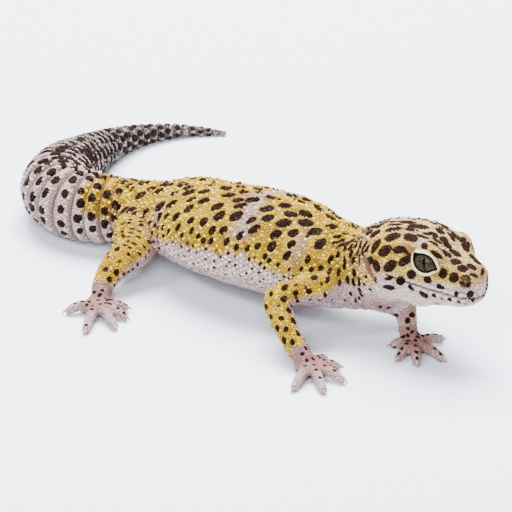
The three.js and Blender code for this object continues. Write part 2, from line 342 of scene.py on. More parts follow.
@dataclass
class Trunk:
    """The body from the nape to the tail's tip, on level-sided sections."""

    sections: Sequence[Sequence[float]] = (
        # x, y, z, half width, height above, depth below
        (40, 7.4, 20.5, 8.0, 5.5, 10.4),
        (36, 7.6, 19.5, 9.8, 6.2, 13.8),
        (30.5, 7.6, 18, 10.4, 7.6, 12.8),
        (24, 6.0, 16.2, 11.6, 9.6, 11.2),
        (16, 4.6, 15.8, 13.2, 11.5, 11.7),
        (7, 5.2, 15.8, 14.8, 12.9, 11.9),
        (-4, 5.8, 15.2, 15.6, 12.7, 11.6),
        (-16, 6.4, 14.4, 15.0, 11.7, 10.9),
        (-28, 8.0, 12.6, 12.0, 10.0, 9.1),
        (-38.5, 9.6, 11.0, 9.2, 8.8, 8.1),
        (-46, 9.6, 10.0, 8.4, 8.4, 7.9),
        (-54, 7.6, 9.3, 9.2, 9.1, 8.6),
        (-62, 6.8, 9.2, 9.5, 9.2, 9.0),
        (-70.3, 11, 8.8, 9.3, 8.9, 9.0),
        (-76.4, 22, 8.0, 8.2, 7.8, 8.2),
        (-79.5, 35, 6.2, 6.2, 6.2, 6.4),
        (-81.5, 49.8, 4.2, 4.2, 4.3, 4.4),
        (-79.8, 61.4, 2.9, 2.9, 2.9, 3.1),
        (-74.8, 70.5, 1.9, 1.9, 2.0, 2.0),
        (-68.6, 76.2, 1.1, 1.15, 1.2, 1.2),
        (-64.4, 78.8, 0.8, 0.55, 0.55, 0.7),
    )
    run: Run = field(init=False)
    side: Array = field(init=False)
    above: Array = field(init=False)

    def __post_init__(self) -> None:
        """Samples the run and sets its level frames."""
        self.run = Run(np.array(self.sections, float), 420)
        self.side = unit(np.cross(UP, self.run.tangent))
        self.above = np.cross(self.run.tangent, self.side)

    def mesh(self, around: int = 72) -> RawMesh:
        """The form of the body, inside the solid one by the coat's depth.

        Args:
            around: points round each section.

        Returns:
            The closed mesh, in bench millimetres.
        """
        angle = np.linspace(0, 2 * math.pi, around, endpoint=False)
        sizes = self.run.sizes.T[..., None]
        half, up, down = (size - np.minimum(COAT_DEPTH, 0.08 * size) for size in sizes)
        across = np.cos(angle) * half
        rise = np.where(np.sin(angle) > 0, np.sin(angle) * up, np.sin(angle) * down)
        rings = self.run.centre[:, None] + across[..., None] * self.side[:, None]
        rings = rings + rise[..., None] * self.above[:, None]
        return tube_mesh(rings[2:-2], self.run.centre[0], self.run.centre[-1])

    def chart(self, points: Array) -> tuple[Array, Array, Array]:
        """Where points lie by the trunk.

        Args:
            points: bench millimetres.

        Returns:
            Length along the body, turn round it in degrees, and height over its surface.
        """
        read = self.run.reader(points)
        away = points - read(self.run.centre)
        across, rise = ((away * read(axis)).sum(1) for axis in (self.side, self.above))
        half, up, down = read(self.run.sizes).T
        reach = np.hypot(across / half, rise / np.where(rise > 0, up, down))
        radial = np.hypot(across, rise)
        over = radial - radial / np.maximum(reach, 0.05)
        beyond = np.abs((away * read(self.run.tangent)).sum(1))
        height = np.hypot(np.maximum(over, 0), beyond) + np.minimum(over, 0)
        return read(self.run.along), np.degrees(np.arctan2(across, rise)), height

    def ray(self, along: float, turn: float) -> tuple[Array, Array, Array]:
        """A way out of the body's middle.

        Args:
            along: length along the body.
            turn: degrees from the top.

        Returns:
            The middle, the direction out, and the direction to the head.
        """
        place = self.run.at(along)
        index = min(int(place), self.run.samples - 2)
        angle = math.radians(turn)
        out = self.side[index] * math.sin(angle) + self.above[index] * math.cos(angle)
        return self.run.centre[index], out, -self.run.tangent[index]


@dataclass
class Head:
    """The head in its own frame: x from the ear line to the snout, y to the left, z up."""

    at: tuple[float, float, float] = (37.6, 8.2, 21.6)
    yaw: float = -10
    pitch: float = 3
    roll: float = -3.5
    square: float = 2.35
    sections: Sequence[Sequence[float]] = (
        # x, half width, height above, depth below
        (-9, 8.4, 6.0, 10.4),
        (-5, 10.0, 7.8, 11.2),
        (0, 11.4, 9.2, 11.0),
        (5, 11.9, 9.9, 10.0),
        (10.5, 10.9, 10.0, 9.0),
        (15, 9.3, 8.9, 8.4),
        (19, 7.7, 6.7, 7.7),
        (22.4, 6.5, 5.3, 7.2),
        (25, 5.2, 4.1, 6.4),
        (26.6, 3.7, 2.8, 4.9),
        (27.2, 2.0, 1.5, 2.8),
    )
    bulge_at: tuple[float, float, float] = (15.5, 5.3, 3.5)
    bulge: float = 4.65
    run: Run = field(init=False)
    turned: Array = field(init=False)

    def __post_init__(self) -> None:
        """Samples the head's sections and sets its frame."""
        rows = np.array([(x, 0, 0, half, up, down) for x, half, up, down in self.sections], float)
        self.run = Run(rows, 200)
        self.turned = turn_about(2, self.yaw) @ turn_about(1, -self.pitch) @ turn_about(0, self.roll)

    def out(self, local: Array) -> Array:
        """The head's own places to bench places."""
        return np.asarray(local, float) @ self.turned.T + np.array(self.at)

    def into(self, points: Array) -> Array:
        """Bench places to the head's own."""
        return (points - np.array(self.at)) @ self.turned

    def mesh(self, around: int = 72) -> RawMesh:
        """The head's form with the swell over each eye, inside the solid one by the coat's depth.

        Args:
            around: points round each section.

        Returns:
            The closed mesh, in bench millimetres.
        """
        angle = np.linspace(0, 2 * math.pi, around, endpoint=False)
        half, up, down = (self.run.sizes[:, k, None] - COAT_DEPTH for k in range(3))
        power = self.square
        swell = (np.abs(np.cos(angle)) ** power + np.abs(np.sin(angle)) ** power) ** (-1 / power)
        across = swell * np.cos(angle) * half
        rise = swell * np.where(np.sin(angle) > 0, np.sin(angle) * up, np.sin(angle) * down)
        flat = np.broadcast_to(self.run.centre[:, None, 0], across.shape)
        rings = np.stack([flat, across, rise], -1)
        parts = [tube_mesh(rings[1:-1], self.run.centre[0], self.run.centre[-1])]
        for _, sign in SIDES:
            at = np.array(self.bulge_at) * (1, sign, 1)
            reach = self.bulge - COAT_DEPTH
            parts.append(ball_mesh(at, np.array([reach + 0.3, reach, reach])))
        form = RawMesh.joined(parts)
        return RawMesh(self.out(form.points), form.faces)

    def over(self, local: Array) -> Array:
        """How far the head's own places lie over its sections.

        Args:
            local: places in the head's own frame.

        Returns:
            Millimetres over the nearest section, less than 0 inside it.
        """
        x, y, z = local.T
        half, up, down = (np.interp(x, self.run.centre[:, 0], size) for size in self.run.sizes.T)
        power = self.square
        reach = np.abs(y) / half
        height = np.abs(z) / np.where(z > 0, up, down)
        ratio = (reach**power + height**power) ** (1 / power)
        radial = np.hypot(y, z)
        behind = np.maximum(self.run.centre[0, 0] - x, 0)
        return radial - radial / np.maximum(ratio, 0.05) + behind


@dataclass
class Limb:
    """A leg with its foot: stations from inside the body outwards, each with a radius."""

    name: str
    sign: int
    joints: Sequence[Sequence[float]]
    elbow: float
    palm_at: tuple[float, float, float]
    palm_size: tuple[float, float, float]
    toes: Sequence[tuple[float, float]]
    gold_turn: float = 0  # the middle of the yellow side, in degrees from the crest
    gold_half: float = 112
    wrist: float = 6
    run: Run = field(init=False)
    crest: Array = field(init=False)

    TOE_START = 1.8
    KNUCKLE = 2.2
    TOE_RADII = (1.45, 1.35, 1.25, 0.95)
    TIP_HEIGHT = 0.9

    def __post_init__(self) -> None:
        """Samples the limb and finds the side of it that faces up and out."""
        self.run = Run(np.array(self.joints, float), 120)
        lean = np.array([0, 0.7 * self.sign, 1.0])
        tangent = self.run.tangent
        self.crest = unit(lean - tangent * (tangent @ lean)[:, None])

    def station(self, index: float) -> float:
        """The length along the limb at a station's number."""
        return float(self.run.along[int(round(index / (len(self.joints) - 1) * 119))])

    def tube(self, stations: Array, around: int, rows: int, inset: float) -> RawMesh:
        """A round tube through stations, thinner by the inset, with its ends pushed out.

        Args:
            stations: a row for each, of a place and a radius.
            around: points round the tube.
            rows: rings along it.
            inset: how much thinner it is.

        Returns:
            The closed mesh, in bench millimetres.
        """
        shares = np.linspace(0, 1, rows + 1)
        centre = catmull(stations[:, :3], shares)
        tangent = unit(np.gradient(centre, axis=0))
        radii = catmull(np.pad(stations[:, 3:], ((0, 0), (0, 2))), shares)[:, 0]
        side = unit(np.cross(np.array([0.3, 0.1, 1.0]), tangent[0]))
        angle = np.linspace(0, 2 * math.pi, around, endpoint=False)
        rings = []
        for k in range(1, rows):
            side = unit(side - tangent[k] * (side @ tangent[k]))
            above = np.cross(tangent[k], side)
            circle = np.cos(angle)[:, None] * side + np.sin(angle)[:, None] * above
            rings.append(centre[k] + circle * max(radii[k] - inset, 0.3))
        first = centre[0] - tangent[0] * radii[0] * 0.4
        last = centre[-1] + tangent[-1] * (radii[-1] * 0.5 - inset)
        return tube_mesh(np.array(rings), first, last)

    def toe_stations(self, toe: tuple[float, float]) -> Array:
        """Places and radii along one toe, from the palm to its tip.

        Args:
            toe: its bearing in degrees and its length.

        Returns:
            A row for each station, of a place and a radius.
        """
        angle = math.radians(toe[0])
        shares = np.array([self.TOE_START / toe[1], 0.42, 0.72, 1])
        palm = np.array(self.palm_at)
        heights = [palm[2] + 0.4, self.KNUCKLE, self.KNUCKLE * 0.82, self.TIP_HEIGHT]
        x, y = palm[0] + math.cos(angle) * toe[1] * shares, palm[1] + math.sin(angle) * toe[1] * shares
        return np.stack([x, y, heights, self.TOE_RADII], 1)

    def mesh(self) -> RawMesh:
        """The leg, palm and toes.

        Returns:
            The meshes of all its forms, unmerged.
        """
        parts = [self.tube(np.array(self.joints, float), 30, 70, COAT_DEPTH * 0.7)]
        parts.append(ball_mesh(np.array(self.palm_at), np.array(self.palm_size) - COAT_DEPTH * 0.5))
        parts += [self.tube(self.toe_stations(toe), 18, 30, COAT_DEPTH * 0.1) for toe in self.toes]
        return RawMesh.joined(parts)

    def chart(self, points: Array) -> tuple[Array, Array, Array]:
        """Where points lie by the limb.

        Args:
            points: bench millimetres.

        Returns:
            Length along it, turn from its crest in degrees, and height over its surface.
        """
        read = self.run.reader(points)
        away = points - read(self.run.centre)
        crest = read(self.crest)
        cross = np.cross(read(self.run.tangent), crest)
        turn = np.degrees(np.arctan2((away * cross).sum(1), (away * crest).sum(1)))
        over = np.linalg.norm(away, axis=1) - read(self.run.sizes[:, 0])
        return read(self.run.along), turn, over

    def ray(self, along: float, turn: float) -> tuple[Array, Array, Array]:
        """A way out of the limb's middle.

        Args:
            along: length along the limb.
            turn: degrees from its crest.

        Returns:
            The middle, the direction out, and the direction down the limb.
        """
        index = min(int(self.run.at(along)), self.run.samples - 2)
        angle = math.radians(turn)
        tangent = self.run.tangent[index]
        crest = self.crest[index]
        out = crest * math.cos(angle) + np.cross(tangent, crest) * math.sin(angle)
        return self.run.centre[index], out, tangent


def gecko_limbs() -> tuple[Limb, ...]:
    """The four legs in the pose.

    Returns:
        The legs: front right, front left, hind right and hind left.
    """
    return (
        Limb(
            "front_right", -1,
            ((25, 0, 15.5, 4.6), (24.5, -5.5, 15.2, 4.2), (20, -10.8, 14.4, 3.5), (16.4, -14.6, 12.6, 3.2),
             (20.0, -17.4, 9.7, 3.2), (24.0, -19.6, 6.8, 2.9), (28.0, -21.4, 4.1, 2.7),
             (31.2, -22.4, 2.4, 2.4)),
            3, (32.0, -22.4, 1.5), (4.2, 4.2, 2.0),
            ((90, 6.7), (45, 7.3), (-3, 10.4), (-40, 12.4), (-77, 11.4)), 25, 95,
        ),
        Limb(
            "front_left", 1,
            ((23, 9, 15.5, 4.6), (24.5, 15, 15.6, 4.0), (30, 18, 15.0, 3.5), (34.8, 16.4, 12.8, 3.2),
             (37.6, 11.0, 9.6, 3.1), (40.8, 6.8, 6.4, 2.7), (43.2, 4.0, 3.9, 2.4), (45.4, 2.9, 2.3, 2.2)),
            3, (46.0, 2.4, 1.5), (4.1, 4.1, 2.0),
            ((208, 5.8), (-87, 8.1), (-52, 9.6), (-10, 10), (65, 8.4)), -60, 75,
        ),
        Limb(
            "hind_right", -1,
            ((-40, 6, 11, 6.4), (-36.6, 0, 10.4, 6.0), (-33.6, -5.4, 9.4, 5.4), (-32.8, -9.5, 8.6, 4.6),
             (-33.9, -12.6, 7.0, 3.9), (-34.0, -16.4, 5.0, 3.2), (-33.2, -20.1, 3.4, 2.7),
             (-31.8, -23.2, 2.2, 2.3)),
            3.4, (-30.9, -25.4, 1.5), (4.1, 4.5, 2.0),
            ((34, 7.8), (-1, 9.4), (-31, 12), (-66, 13.3), (-131, 7.9)), 25, 105,
        ),
        Limb(
            "hind_left", 1,
            ((-40, 12, 11, 6.2), (-36.5, 17.5, 12.6, 5.6), (-32, 22, 13.6, 4.8), (-28, 25.6, 13.2, 3.9),
             (-28.6, 28.6, 10.4, 3.4), (-30.4, 30.6, 7.0, 3.0), (-32, 32.2, 4.0, 2.7),
             (-32.4, 33.8, 2.4, 2.3)),
            3, (-31.8, 35.0, 1.5), (4.1, 4.5, 2.0),
            ((-24, 7.8), (6, 9.4), (33, 12), (64, 13.3), (128, 8)),
        ),
    )


# ---------------------------------------------------------------- where a point lies on the animal


@dataclass
class Places:
    """Where points lie on the animal, with one value for each point."""

    points: Array
    along: Array  # millimetres down the body from the nape
    turn: Array  # degrees round the body
    body_over: Array  # height over the body's form
    local: Array  # the head's own frame
    cheek: Array  # degrees from the top of the head, unsigned
    head_over: Array
    on_head: Array  # share, as the next ones
    on_limb: Array
    on_foot: Array
    limb: Array  # number of the nearest limb
    limb_along: Array
    limb_turn: Array
    limb_over: Array
    toe_share: Array  # 0 at the palm, 1 at the toe's tip

    @property
    def side(self) -> Array:
        """Degrees from the top of the body, unsigned."""
        return np.abs(self.turn)

    @property
    def on_body(self) -> Array:
        """The share that is trunk or tail."""
        return (1 - self.on_head) * (1 - self.on_limb)


@dataclass
class Animal:
    """All the forms under the skin."""

    trunk: Trunk = field(default_factory=Trunk)
    head: Head = field(default_factory=Head)
    limbs: tuple[Limb, ...] = field(default_factory=gecko_limbs)

    def survey(self, points: Array) -> Places:
        """Finds where points lie on the animal.

        Args:
            points: bench millimetres.

        Returns:
            Their places.
        """
        along, turn, body_over = self.trunk.chart(points)
        local = self.head.into(points)
        head_over = self.head.over(local)
        on_head = ease(local[:, 0], -6, -1) * ease(head_over, 4.5, 3)
        count = len(points)
        best = np.full(count, np.inf)
        limb = np.zeros(count, int)
        limb_along, limb_turn, on_foot, toe_share = (np.zeros(count) for _ in range(4))
        for number, leg in enumerate(self.limbs):
            leg_along, leg_turn, leg_over = leg.chart(points)
            foot_over, share = self.foot_chart(leg, points)
            over = np.minimum(leg_over, foot_over)
            nearer = over < best
            best[nearer] = over[nearer]
            limb[nearer] = number
            limb_along[nearer] = leg_along[nearer]
            limb_turn[nearer] = leg_turn[nearer]
            wrist = leg.station(leg.wrist)
            foot = ease(leg_along, wrist - 1.2, wrist + 0.6)
            foot = np.maximum(foot, ease(leg_over - foot_over, 0.2, 1.2))
            on_foot[nearer] = foot[nearer]
            toe_share[nearer] = share[nearer]
        nearest_form = np.minimum(body_over, np.where(local[:, 0] > -8, head_over, 99))
        on_limb = ease(nearest_form - best, -0.8, 0.9)
        cheek = np.degrees(np.arctan2(np.abs(local[:, 1]), local[:, 2]))
        return Places(
            points, along, turn, body_over, local, cheek, head_over, on_head * (1 - on_limb),
            on_limb, on_foot * on_limb, limb, limb_along, limb_turn, best, toe_share,
        )

    @staticmethod
    def foot_chart(leg: Limb, points: Array) -> tuple[Array, Array]:
        """Height over a foot's palm and toes, and the share of the way out along the nearest toe.

        Args:
            leg: the leg that the foot ends.
            points: the points to find.

        Returns:
            The heights and the shares.
        """
        over = np.linalg.norm((points - leg.palm_at) / (1.9, 1.9, 1), axis=1) - 1.6
        share = np.zeros(len(points))
        near = np.linalg.norm(points - leg.palm_at, axis=1) < 19
        for toe in leg.toes:
            spine = catmull(leg.toe_stations(toe), np.linspace(0, 1, 14))
            away = np.linalg.norm(points[near, None] - spine[None, :, :3], axis=2) - spine[None, :, 3]
            closest = away.argmin(1)
            height = away[np.arange(len(closest)), closest]
            nearer = height < over[near]
            indices = np.flatnonzero(near)[nearer]
            over[indices] = height[nearer]
            share[indices] = closest[nearer] / 13
        return over, share


WHORLS = 36  # more than the tail has


@dataclass
class TailRings:
    """The whorls of the tail: how far apart the grooves are, and what they do to the surface."""

    starts: tuple[float, ...] = (82, 86, 89.8, 104, 120, 150, 175, 189)
    widths: tuple[float, ...] = (1.5, 2.4, 3.4, 3.4, 3.3, 3.0, 2.4, 1.9)
    girth_at: tuple[float, ...] = (84, 104, 120, 140, 160, 185)
    girths: tuple[float, ...] = (9, 9.4, 8.6, 6, 3.6, 1.2)
    swell: float = 1.5
    first: float = 84.5
    last: float = 190

    @property
    def ruler(self) -> Array:
        """Closely spaced lengths along the tail."""
        return np.linspace(self.first - 8, self.last, 1600)

    def girth(self, along: float) -> float:
        """Half the tail's thickness at a length along the body."""
        return float(np.interp(along, self.girth_at, self.girths))

    def width(self, along: float) -> float:
        """The width of a whorl at a length along the body."""
        return float(np.interp(along, self.starts, self.widths))

    def phase(self, along: Array) -> Array:
        """The number of the whorl, with the share of the way across it.

        Args:
            along: lengths along the body.

        Returns:
            The numbers of the whorls.
        """
        fine = self.ruler
        pace = 1 / np.interp(fine, self.starts, self.widths)
        count = np.concatenate([[0], np.cumsum((pace[1:] + pace[:-1]) / 2 * np.diff(fine))])
        count -= np.interp(89.8, fine, count) - 3
        return np.interp(along, fine, count)

    def place(self, phase: float) -> float:
        """The length along the body at a whorl's number."""
        return float(np.interp(phase, self.phase(self.ruler), self.ruler))

    def across(self, along: Array) -> tuple[Array, Array]:
        """The share of the way across a whorl, and the share that the nearest groove is away."""
        share = self.phase(along) % 1
        return share, np.minimum(share, 1 - share)

    def presence(self, along: Array) -> Array:
        """How strongly the whorls show."""
        return ease(along, self.first - 1, self.first + 5)

    def relief(self, places: Places) -> Array:
        """The whorls' height over the plain form.

        Args:
            places: where to tell it.

        Returns:
            Millimetres to push the skin out.
        """
        share, gap = self.across(places.along)
        crown = 1 - np.abs(2 * share - 1) ** 2.3
        groove = np.exp(-((gap / 0.08) ** 2))
        strong = np.interp(places.along, [85, 100, 125, 150, 175, 188], [0.7, 1, 1.1, 0.85, 0.45, 0.15])
        return self.presence(places.along) * strong * (self.swell * (crown - 0.8) - 0.8 * groove)


@dataclass
class LidLine:
    """The edge of one eye's opening, and the eyeball behind it, in the head's own frame."""

    sign: int
    eye_at: tuple[float, float, float] = (14.8, 5.2, 3.6)
    radius: float = 3.8
    forward: float = 20
    upward: float = 18
    clear: float = 0.2  # how far over the eyeball the lids' edge lies
    edge: Sequence[tuple[float, float]] = (
        # millimetres ahead and up across the eye's face: rear corner, upper lid, front corner, lower lid
        (-3.45, 1.35), (-2.15, 1.7), (-0.15, 2.07), (1.4, 1.78), (2.47, 0.91), (3.3, -0.83),
        (2.58, -1.37), (1.56, -2.08), (0.19, -2.31), (-1.24, -1.9), (-2.34, -0.97), (-3.1, 0.1),
    )

    def mirrored(self, local: Array) -> Array:
        """The head's own places, turned over for the right side."""
        return np.asarray(local, float) * (1, self.sign, 1)

    @property
    def middle(self) -> Array:
        """The eyeball's middle."""
        return self.mirrored(self.eye_at)

    @property
    def gaze(self) -> Array:
        """The way the eye looks.

        Returns:
            A way of length one in the head's own frame.
        """
        forward, upward = math.radians(self.forward), math.radians(self.upward)
        flat = math.cos(upward)
        return self.mirrored([math.sin(forward) * flat, math.cos(forward) * flat, math.sin(upward)])

    @property
    def axes(self) -> tuple[Array, Array]:
        """The ways ahead and up across the eye's face.

        Returns:
            Two ways of length one in the head's own frame.
        """
        ahead = unit(np.array([1.0, 0, 0]) - self.gaze * self.gaze[0])
        high = np.cross(self.gaze, ahead) * self.sign * -1
        return ahead, high

    def flat_line(self, count: int) -> Array:
        """Evenly spaced points round the opening's edge on the eye's face.

        Args:
            count: how many, from its rear corner over the top.

        Returns:
            Millimetres ahead and up, one point a row.
        """
        rows = np.array(self.edge)
        wrapped = np.vstack([rows[-3:], rows, rows[:3]])
        last = len(wrapped) - 1
        fine = catmull(wrapped, np.linspace(3 / last, 1 - 2 / last, 400))
        length = np.concatenate([[0], np.cumsum(np.linalg.norm(np.diff(fine, axis=0), axis=1))])
        even = np.linspace(0, length[-1], count, endpoint=False)
        return np.stack([np.interp(even, length, fine[:, k]) for k in range(2)], 1)

    def line(self, count: int) -> Array:
        """The same points just over the eyeball, in the head's own frame.

        Args:
            count: how many points.

        Returns:
            The points, in order round the opening.
        """
        flat = self.flat_line(count)
        ahead, high = self.axes
        out = np.sqrt((self.radius + self.clear) ** 2 - (flat**2).sum(1))
        return self.middle + flat[:, :1] * ahead + flat[:, 1:] * high + out[:, None] * self.gaze

    def face(self, local: Array) -> Array:
        """Places seen along the gaze: millimetres ahead and up from the eyeball's middle."""
        return np.stack([(local - self.middle) @ axis for axis in self.axes], -1)

    def spread(self, local: Array) -> Array:
        """Places laid flat round the gaze by their ways from the eyeball's middle.

        Args:
            local: places in the head's own frame.

        Returns:
            Millimetres of arc ahead and up.
        """
        way = unit(local - self.middle)
        flat = np.stack([way @ axis for axis in self.axes], -1)
        arc = np.arccos(np.clip(way @ self.gaze, -1, 1)) * (self.radius + self.clear)
        return flat / np.maximum(np.linalg.norm(flat, axis=-1), 1e-6)[:, None] * arc[:, None]

    def inside(self, local: Array) -> Array:
        """How far inside the opening places are, measured round the eyeball; negative outside.

        Args:
            local: places in the head's own frame.

        Returns:
            Millimetres from the edge.
        """
        edge = self.spread(self.line(90))
        flat = self.spread(local)
        following = np.roll(edge, -1, axis=0)
        step = following - edge
        gap = np.full(len(flat), np.inf)
        crossings = np.zeros(len(flat), int)
        for (a, b), (dx, dy), (_, d) in zip(edge, step, following):
            w = np.clip(((flat[:, 0] - a) * dx + (flat[:, 1] - b) * dy) / (dx * dx + dy * dy), 0, 1)
            gap = np.minimum(gap, np.hypot(flat[:, 0] - a - w * dx, flat[:, 1] - b - w * dy))
            spans = (b > flat[:, 1]) != (d > flat[:, 1])
            meet = a + (flat[:, 1] - b) * dx / (dy if abs(dy) > 1e-9 else 1e-9)
            crossings += spans & (flat[:, 0] < meet)
        return np.where(crossings % 2 == 1, gap, -gap)


# ---------------------------------------------------------------- relief of the skin


POUCH_AT = np.array([38.0, -0.6, 11.2])  # the middle of the throat's bare pouch
POUCH_SIZE = np.array([4.6, 4.6, 3.0])


def pouch(points: Array) -> Array:
    """How much of the throat's bare pouch is at each bench place."""
    return np.exp(-(((points - POUCH_AT) / POUCH_SIZE) ** 2).sum(1))


@dataclass
class HeadRelief:
    """What the skin adds to the head's form: mouth, lips, nostrils, ears, brows, jowls and the throat."""

    mouth_x: tuple[float, ...] = (4, 7, 9, 12, 15, 18, 21, 24, 27.5)
    mouth_z: tuple[float, ...] = (0.2, -0.3, -0.55, -1.0, -1.5, -2.05, -2.4, -2.85, -3.7)
    ear_at: tuple[float, float] = (0.0, 91)
    nostril_at: tuple[float, float] = (25.3, 62)
    swells: Sequence[tuple[float, float, float, float, float]] = (
        # height; place and half length along the head; place and half breadth in degrees from its top
        (0.55, 3.5, 4, 122, 20),  # the jaw's muscle
        (0.35, 3.5, 4.2, 66, 18),  # the temple
        (-0.4, 21.6, 2.2, 62, 22),  # the hollow before the eye
        (-0.3, 17.5, 4, 0, 22),  # the hollow between the eyes
        (-0.3, 11.3, 1.2, 40, 18),  # the hollow behind the brow
        (0.3, 15.5, 3.4, 36, 8),  # the brow
        (0.2, 25.2, 1.3, 40, 25),  # the swell over the nostril
        (1.0, 12.2, 2.6, 146, 18),  # the jaw's angle
        (-0.45, 3.0, 2.4, 168, 16),  # the throat's first fold
        (0.5, 15.2, 3.2, 40, 14),  # the lid's swell
        (-0.28, 6.8, 1.2, 160, 32),  # the throat's second fold
    )

    def mouth(self, x: Array) -> Array:
        """The height of the mouth line."""
        return np.interp(x, self.mouth_x, self.mouth_z)

    def lip_gap(self, local: Array) -> Array:
        """The height over the mouth line."""
        return local[:, 2] - self.mouth(local[:, 0])

    def relief(self, places: Places) -> Array:
        """Millimetres to push the skin out along its normal.

        Args:
            places: where to tell it.

        Returns:
            A height for each place.
        """
        x, _, z = places.local.T
        cheek = places.cheek
        gap = self.lip_gap(places.local)
        in_mouth = ease(x, 5.5, 8.5)
        height = -0.42 * bump(gap, 0, 0.26) * in_mouth
        height += (0.16 * bump(gap, 0.95, 0.6) + 0.2 * bump(gap, -0.95, 0.65)) * in_mouth
        height -= 0.12 * bump(gap, -1.9, 0.35) * in_mouth * ease(x, 24, 20)
        # the fold that carries the lip back to the ear, and the jaw's muscle under it
        fold = z - np.interp(x, [-3, 0, 5, 9], [-1.9, -1.7, -0.9, -0.6])
        back = bump(x, 3.2, 4.2)
        height += back * (0.3 * bump(fold, 0.35, 0.7) - 0.3 * bump(fold, -0.75, 0.45))
        for rise, x_at, long, cheek_at, broad in self.swells:
            height += rise * bump(x, x_at, long) * bump(cheek, cheek_at, broad)
        ear, nostril = self.ear(places), self.nostril(places)
        height += 0.25 * bump(ear, 1.4, 0.3) - 1.3 * ease(ear, 1.1, 0.3)
        height += 0.16 * bump(nostril, 1.6, 0.5) - 0.7 * ease(nostril, 1.1, 0.2)
        height += 0.05 * ripple(places.points, 1.3, 3)
        return height * places.on_head

    def ear(self, places: Places) -> Array:
        """How far places are from the ear's slit, as a share of its size."""
        ahead, down = self.apart(places, self.ear_at)
        return np.hypot((ahead - 0.85 * down) / 1.8, down / 2.8)

    def nostril(self, places: Places) -> Array:
        """How far places are from the nostril, as a share of its size."""
        ahead, down = self.apart(places, self.nostril_at)
        return np.hypot(ahead / 0.6, (down - 0.2 * ahead) / 0.42)

    @staticmethod
    def apart(places: Places, at: tuple[float, float]) -> tuple[Array, Array]:
        """Millimetres ahead of, and down round the head from, a length and an angle on it."""
        x, y, z = places.local.T
        return x - at[0], np.radians(places.cheek - at[1]) * np.hypot(y, z)


@dataclass
class BodyRelief:
    """Folds and slack of the skin on the neck, flanks and legs, with the tail's whorls."""

    rings: TailRings = field(default_factory=TailRings)

    def relief(self, places: Places) -> Array:
        """Millimetres to push the skin out along its normal.

        Args:
            places: where to tell it.

        Returns:
            A height for each place.
        """
        along, side, points = places.along, places.side, places.points
        warp = ripple(points, 5, 11) * 0.9 + (side - 90) * 0.02
        neck = ease(along, 21, 15) * ease(side, 12, 45) * ease(places.local[:, 0], 3, -2)
        height = 0.17 * neck * np.sin((along + warp) * 2 * math.pi / 1.9)
        height += 0.10 * ripple(points, 3.2, 12) * ease(along, 96, 80)
        flank = bump(side, 88, 16) * ease(along, 22, 30) * ease(along, 72, 64)
        height += 0.12 * flank * ripple(points * (1, 1, 0.35), 2.2, 13)
        for start, shift in ((17.5, 0.0), (20.4, 0.25)):
            crease = along - start - 0.035 * (side - 80) - shift * ripple(points, 4, 14)
            height -= 0.28 * bump(crease, 0, 0.55) * bump(side, 95, 38)
        for start in (67.5, 70.0):
            crease = along - start + 0.03 * (side - 70)
            height -= 0.3 * bump(crease, 0, 0.5) * bump(side, 72, 34)
        height += 0.22 * bump(side, 0, 7) * ease(along, 8, 18) * ease(along, 84, 76)
        body = height * places.on_body + self.rings.relief(places) * places.on_body
        seam = bump(places.body_over - places.limb_over, 0, 0.55) * ease(places.body_over, 3, 1)
        seam *= ease(along, 20, 26) * (1 - places.on_foot)
        return body + self.legs(places) - 0.6 * seam

    @staticmethod
    def legs(places: Places) -> Array:
        """Creases at the elbows, knees and wrists, and the pads of the toes.

        Args:
            places: where to tell it.

        Returns:
            A height for each place.
        """
        height = np.zeros(len(places.points))
        for number, leg in enumerate(gecko_limbs()):
            on = (places.limb == number) * places.on_limb
            wrist, elbow = leg.station(leg.wrist), leg.station(leg.elbow)
            near_wrist = bump(places.limb_along, wrist - 0.6, 1.8)
            height += on * 0.16 * near_wrist * np.sin(places.limb_along * 2 * math.pi / 0.95)
            inner = ease(np.abs(places.limb_turn), 60, 130)
            height -= on * 0.25 * bump(places.limb_along, elbow, 0.7) * inner
            height += on * 0.12 * bump(places.limb_along, (elbow + wrist) / 2, 3) * (1 - inner)
            height += on * 0.07 * ripple(places.points, 2.4, 21 + number) * (1 - places.on_foot)
        toes = places.on_foot * ease(places.toe_share, 0.15, 0.4)
        height += 0.05 * toes * np.sin(places.toe_share * 2 * math.pi * 9)
        return height


# ---------------------------------------------------------------- meshes in Blender


def read_rows(
    items: bpy.types.bpy_prop_collection, key: str, width: int = 3, kind: type = np.float32
) -> Array:
    """Reads one value of every item.

    Args:
        items: what is read from.
        key: the value's name.
        width: how many numbers it has.
        kind: the numbers' type.

    Returns:
        One row for each item.
    """
    flat = np.empty(len(items) * width, kind)
    items.foreach_get(key, flat)
    return flat.reshape(-1, width)


def read_points(mesh: bpy.types.Mesh) -> Array:
    """The mesh's points, one a row."""
    return read_rows(mesh.vertices, "co", kind=float)


def write_points(mesh: bpy.types.Mesh, points: Array) -> None:
    """Puts points into the mesh."""
    mesh.vertices.foreach_set("co", np.asarray(points, np.float32).ravel())
    mesh.update()


def read_normals(mesh: bpy.types.Mesh) -> Array:
    """The normals at the mesh's points."""
    return read_rows(mesh.vertex_normals, "vector").astype(float)


def read_edges(mesh: bpy.types.Mesh) -> Array:
    """The mesh's edges as pairs of points."""
    return read_rows(mesh.edges, "vertices", 2, np.int32)


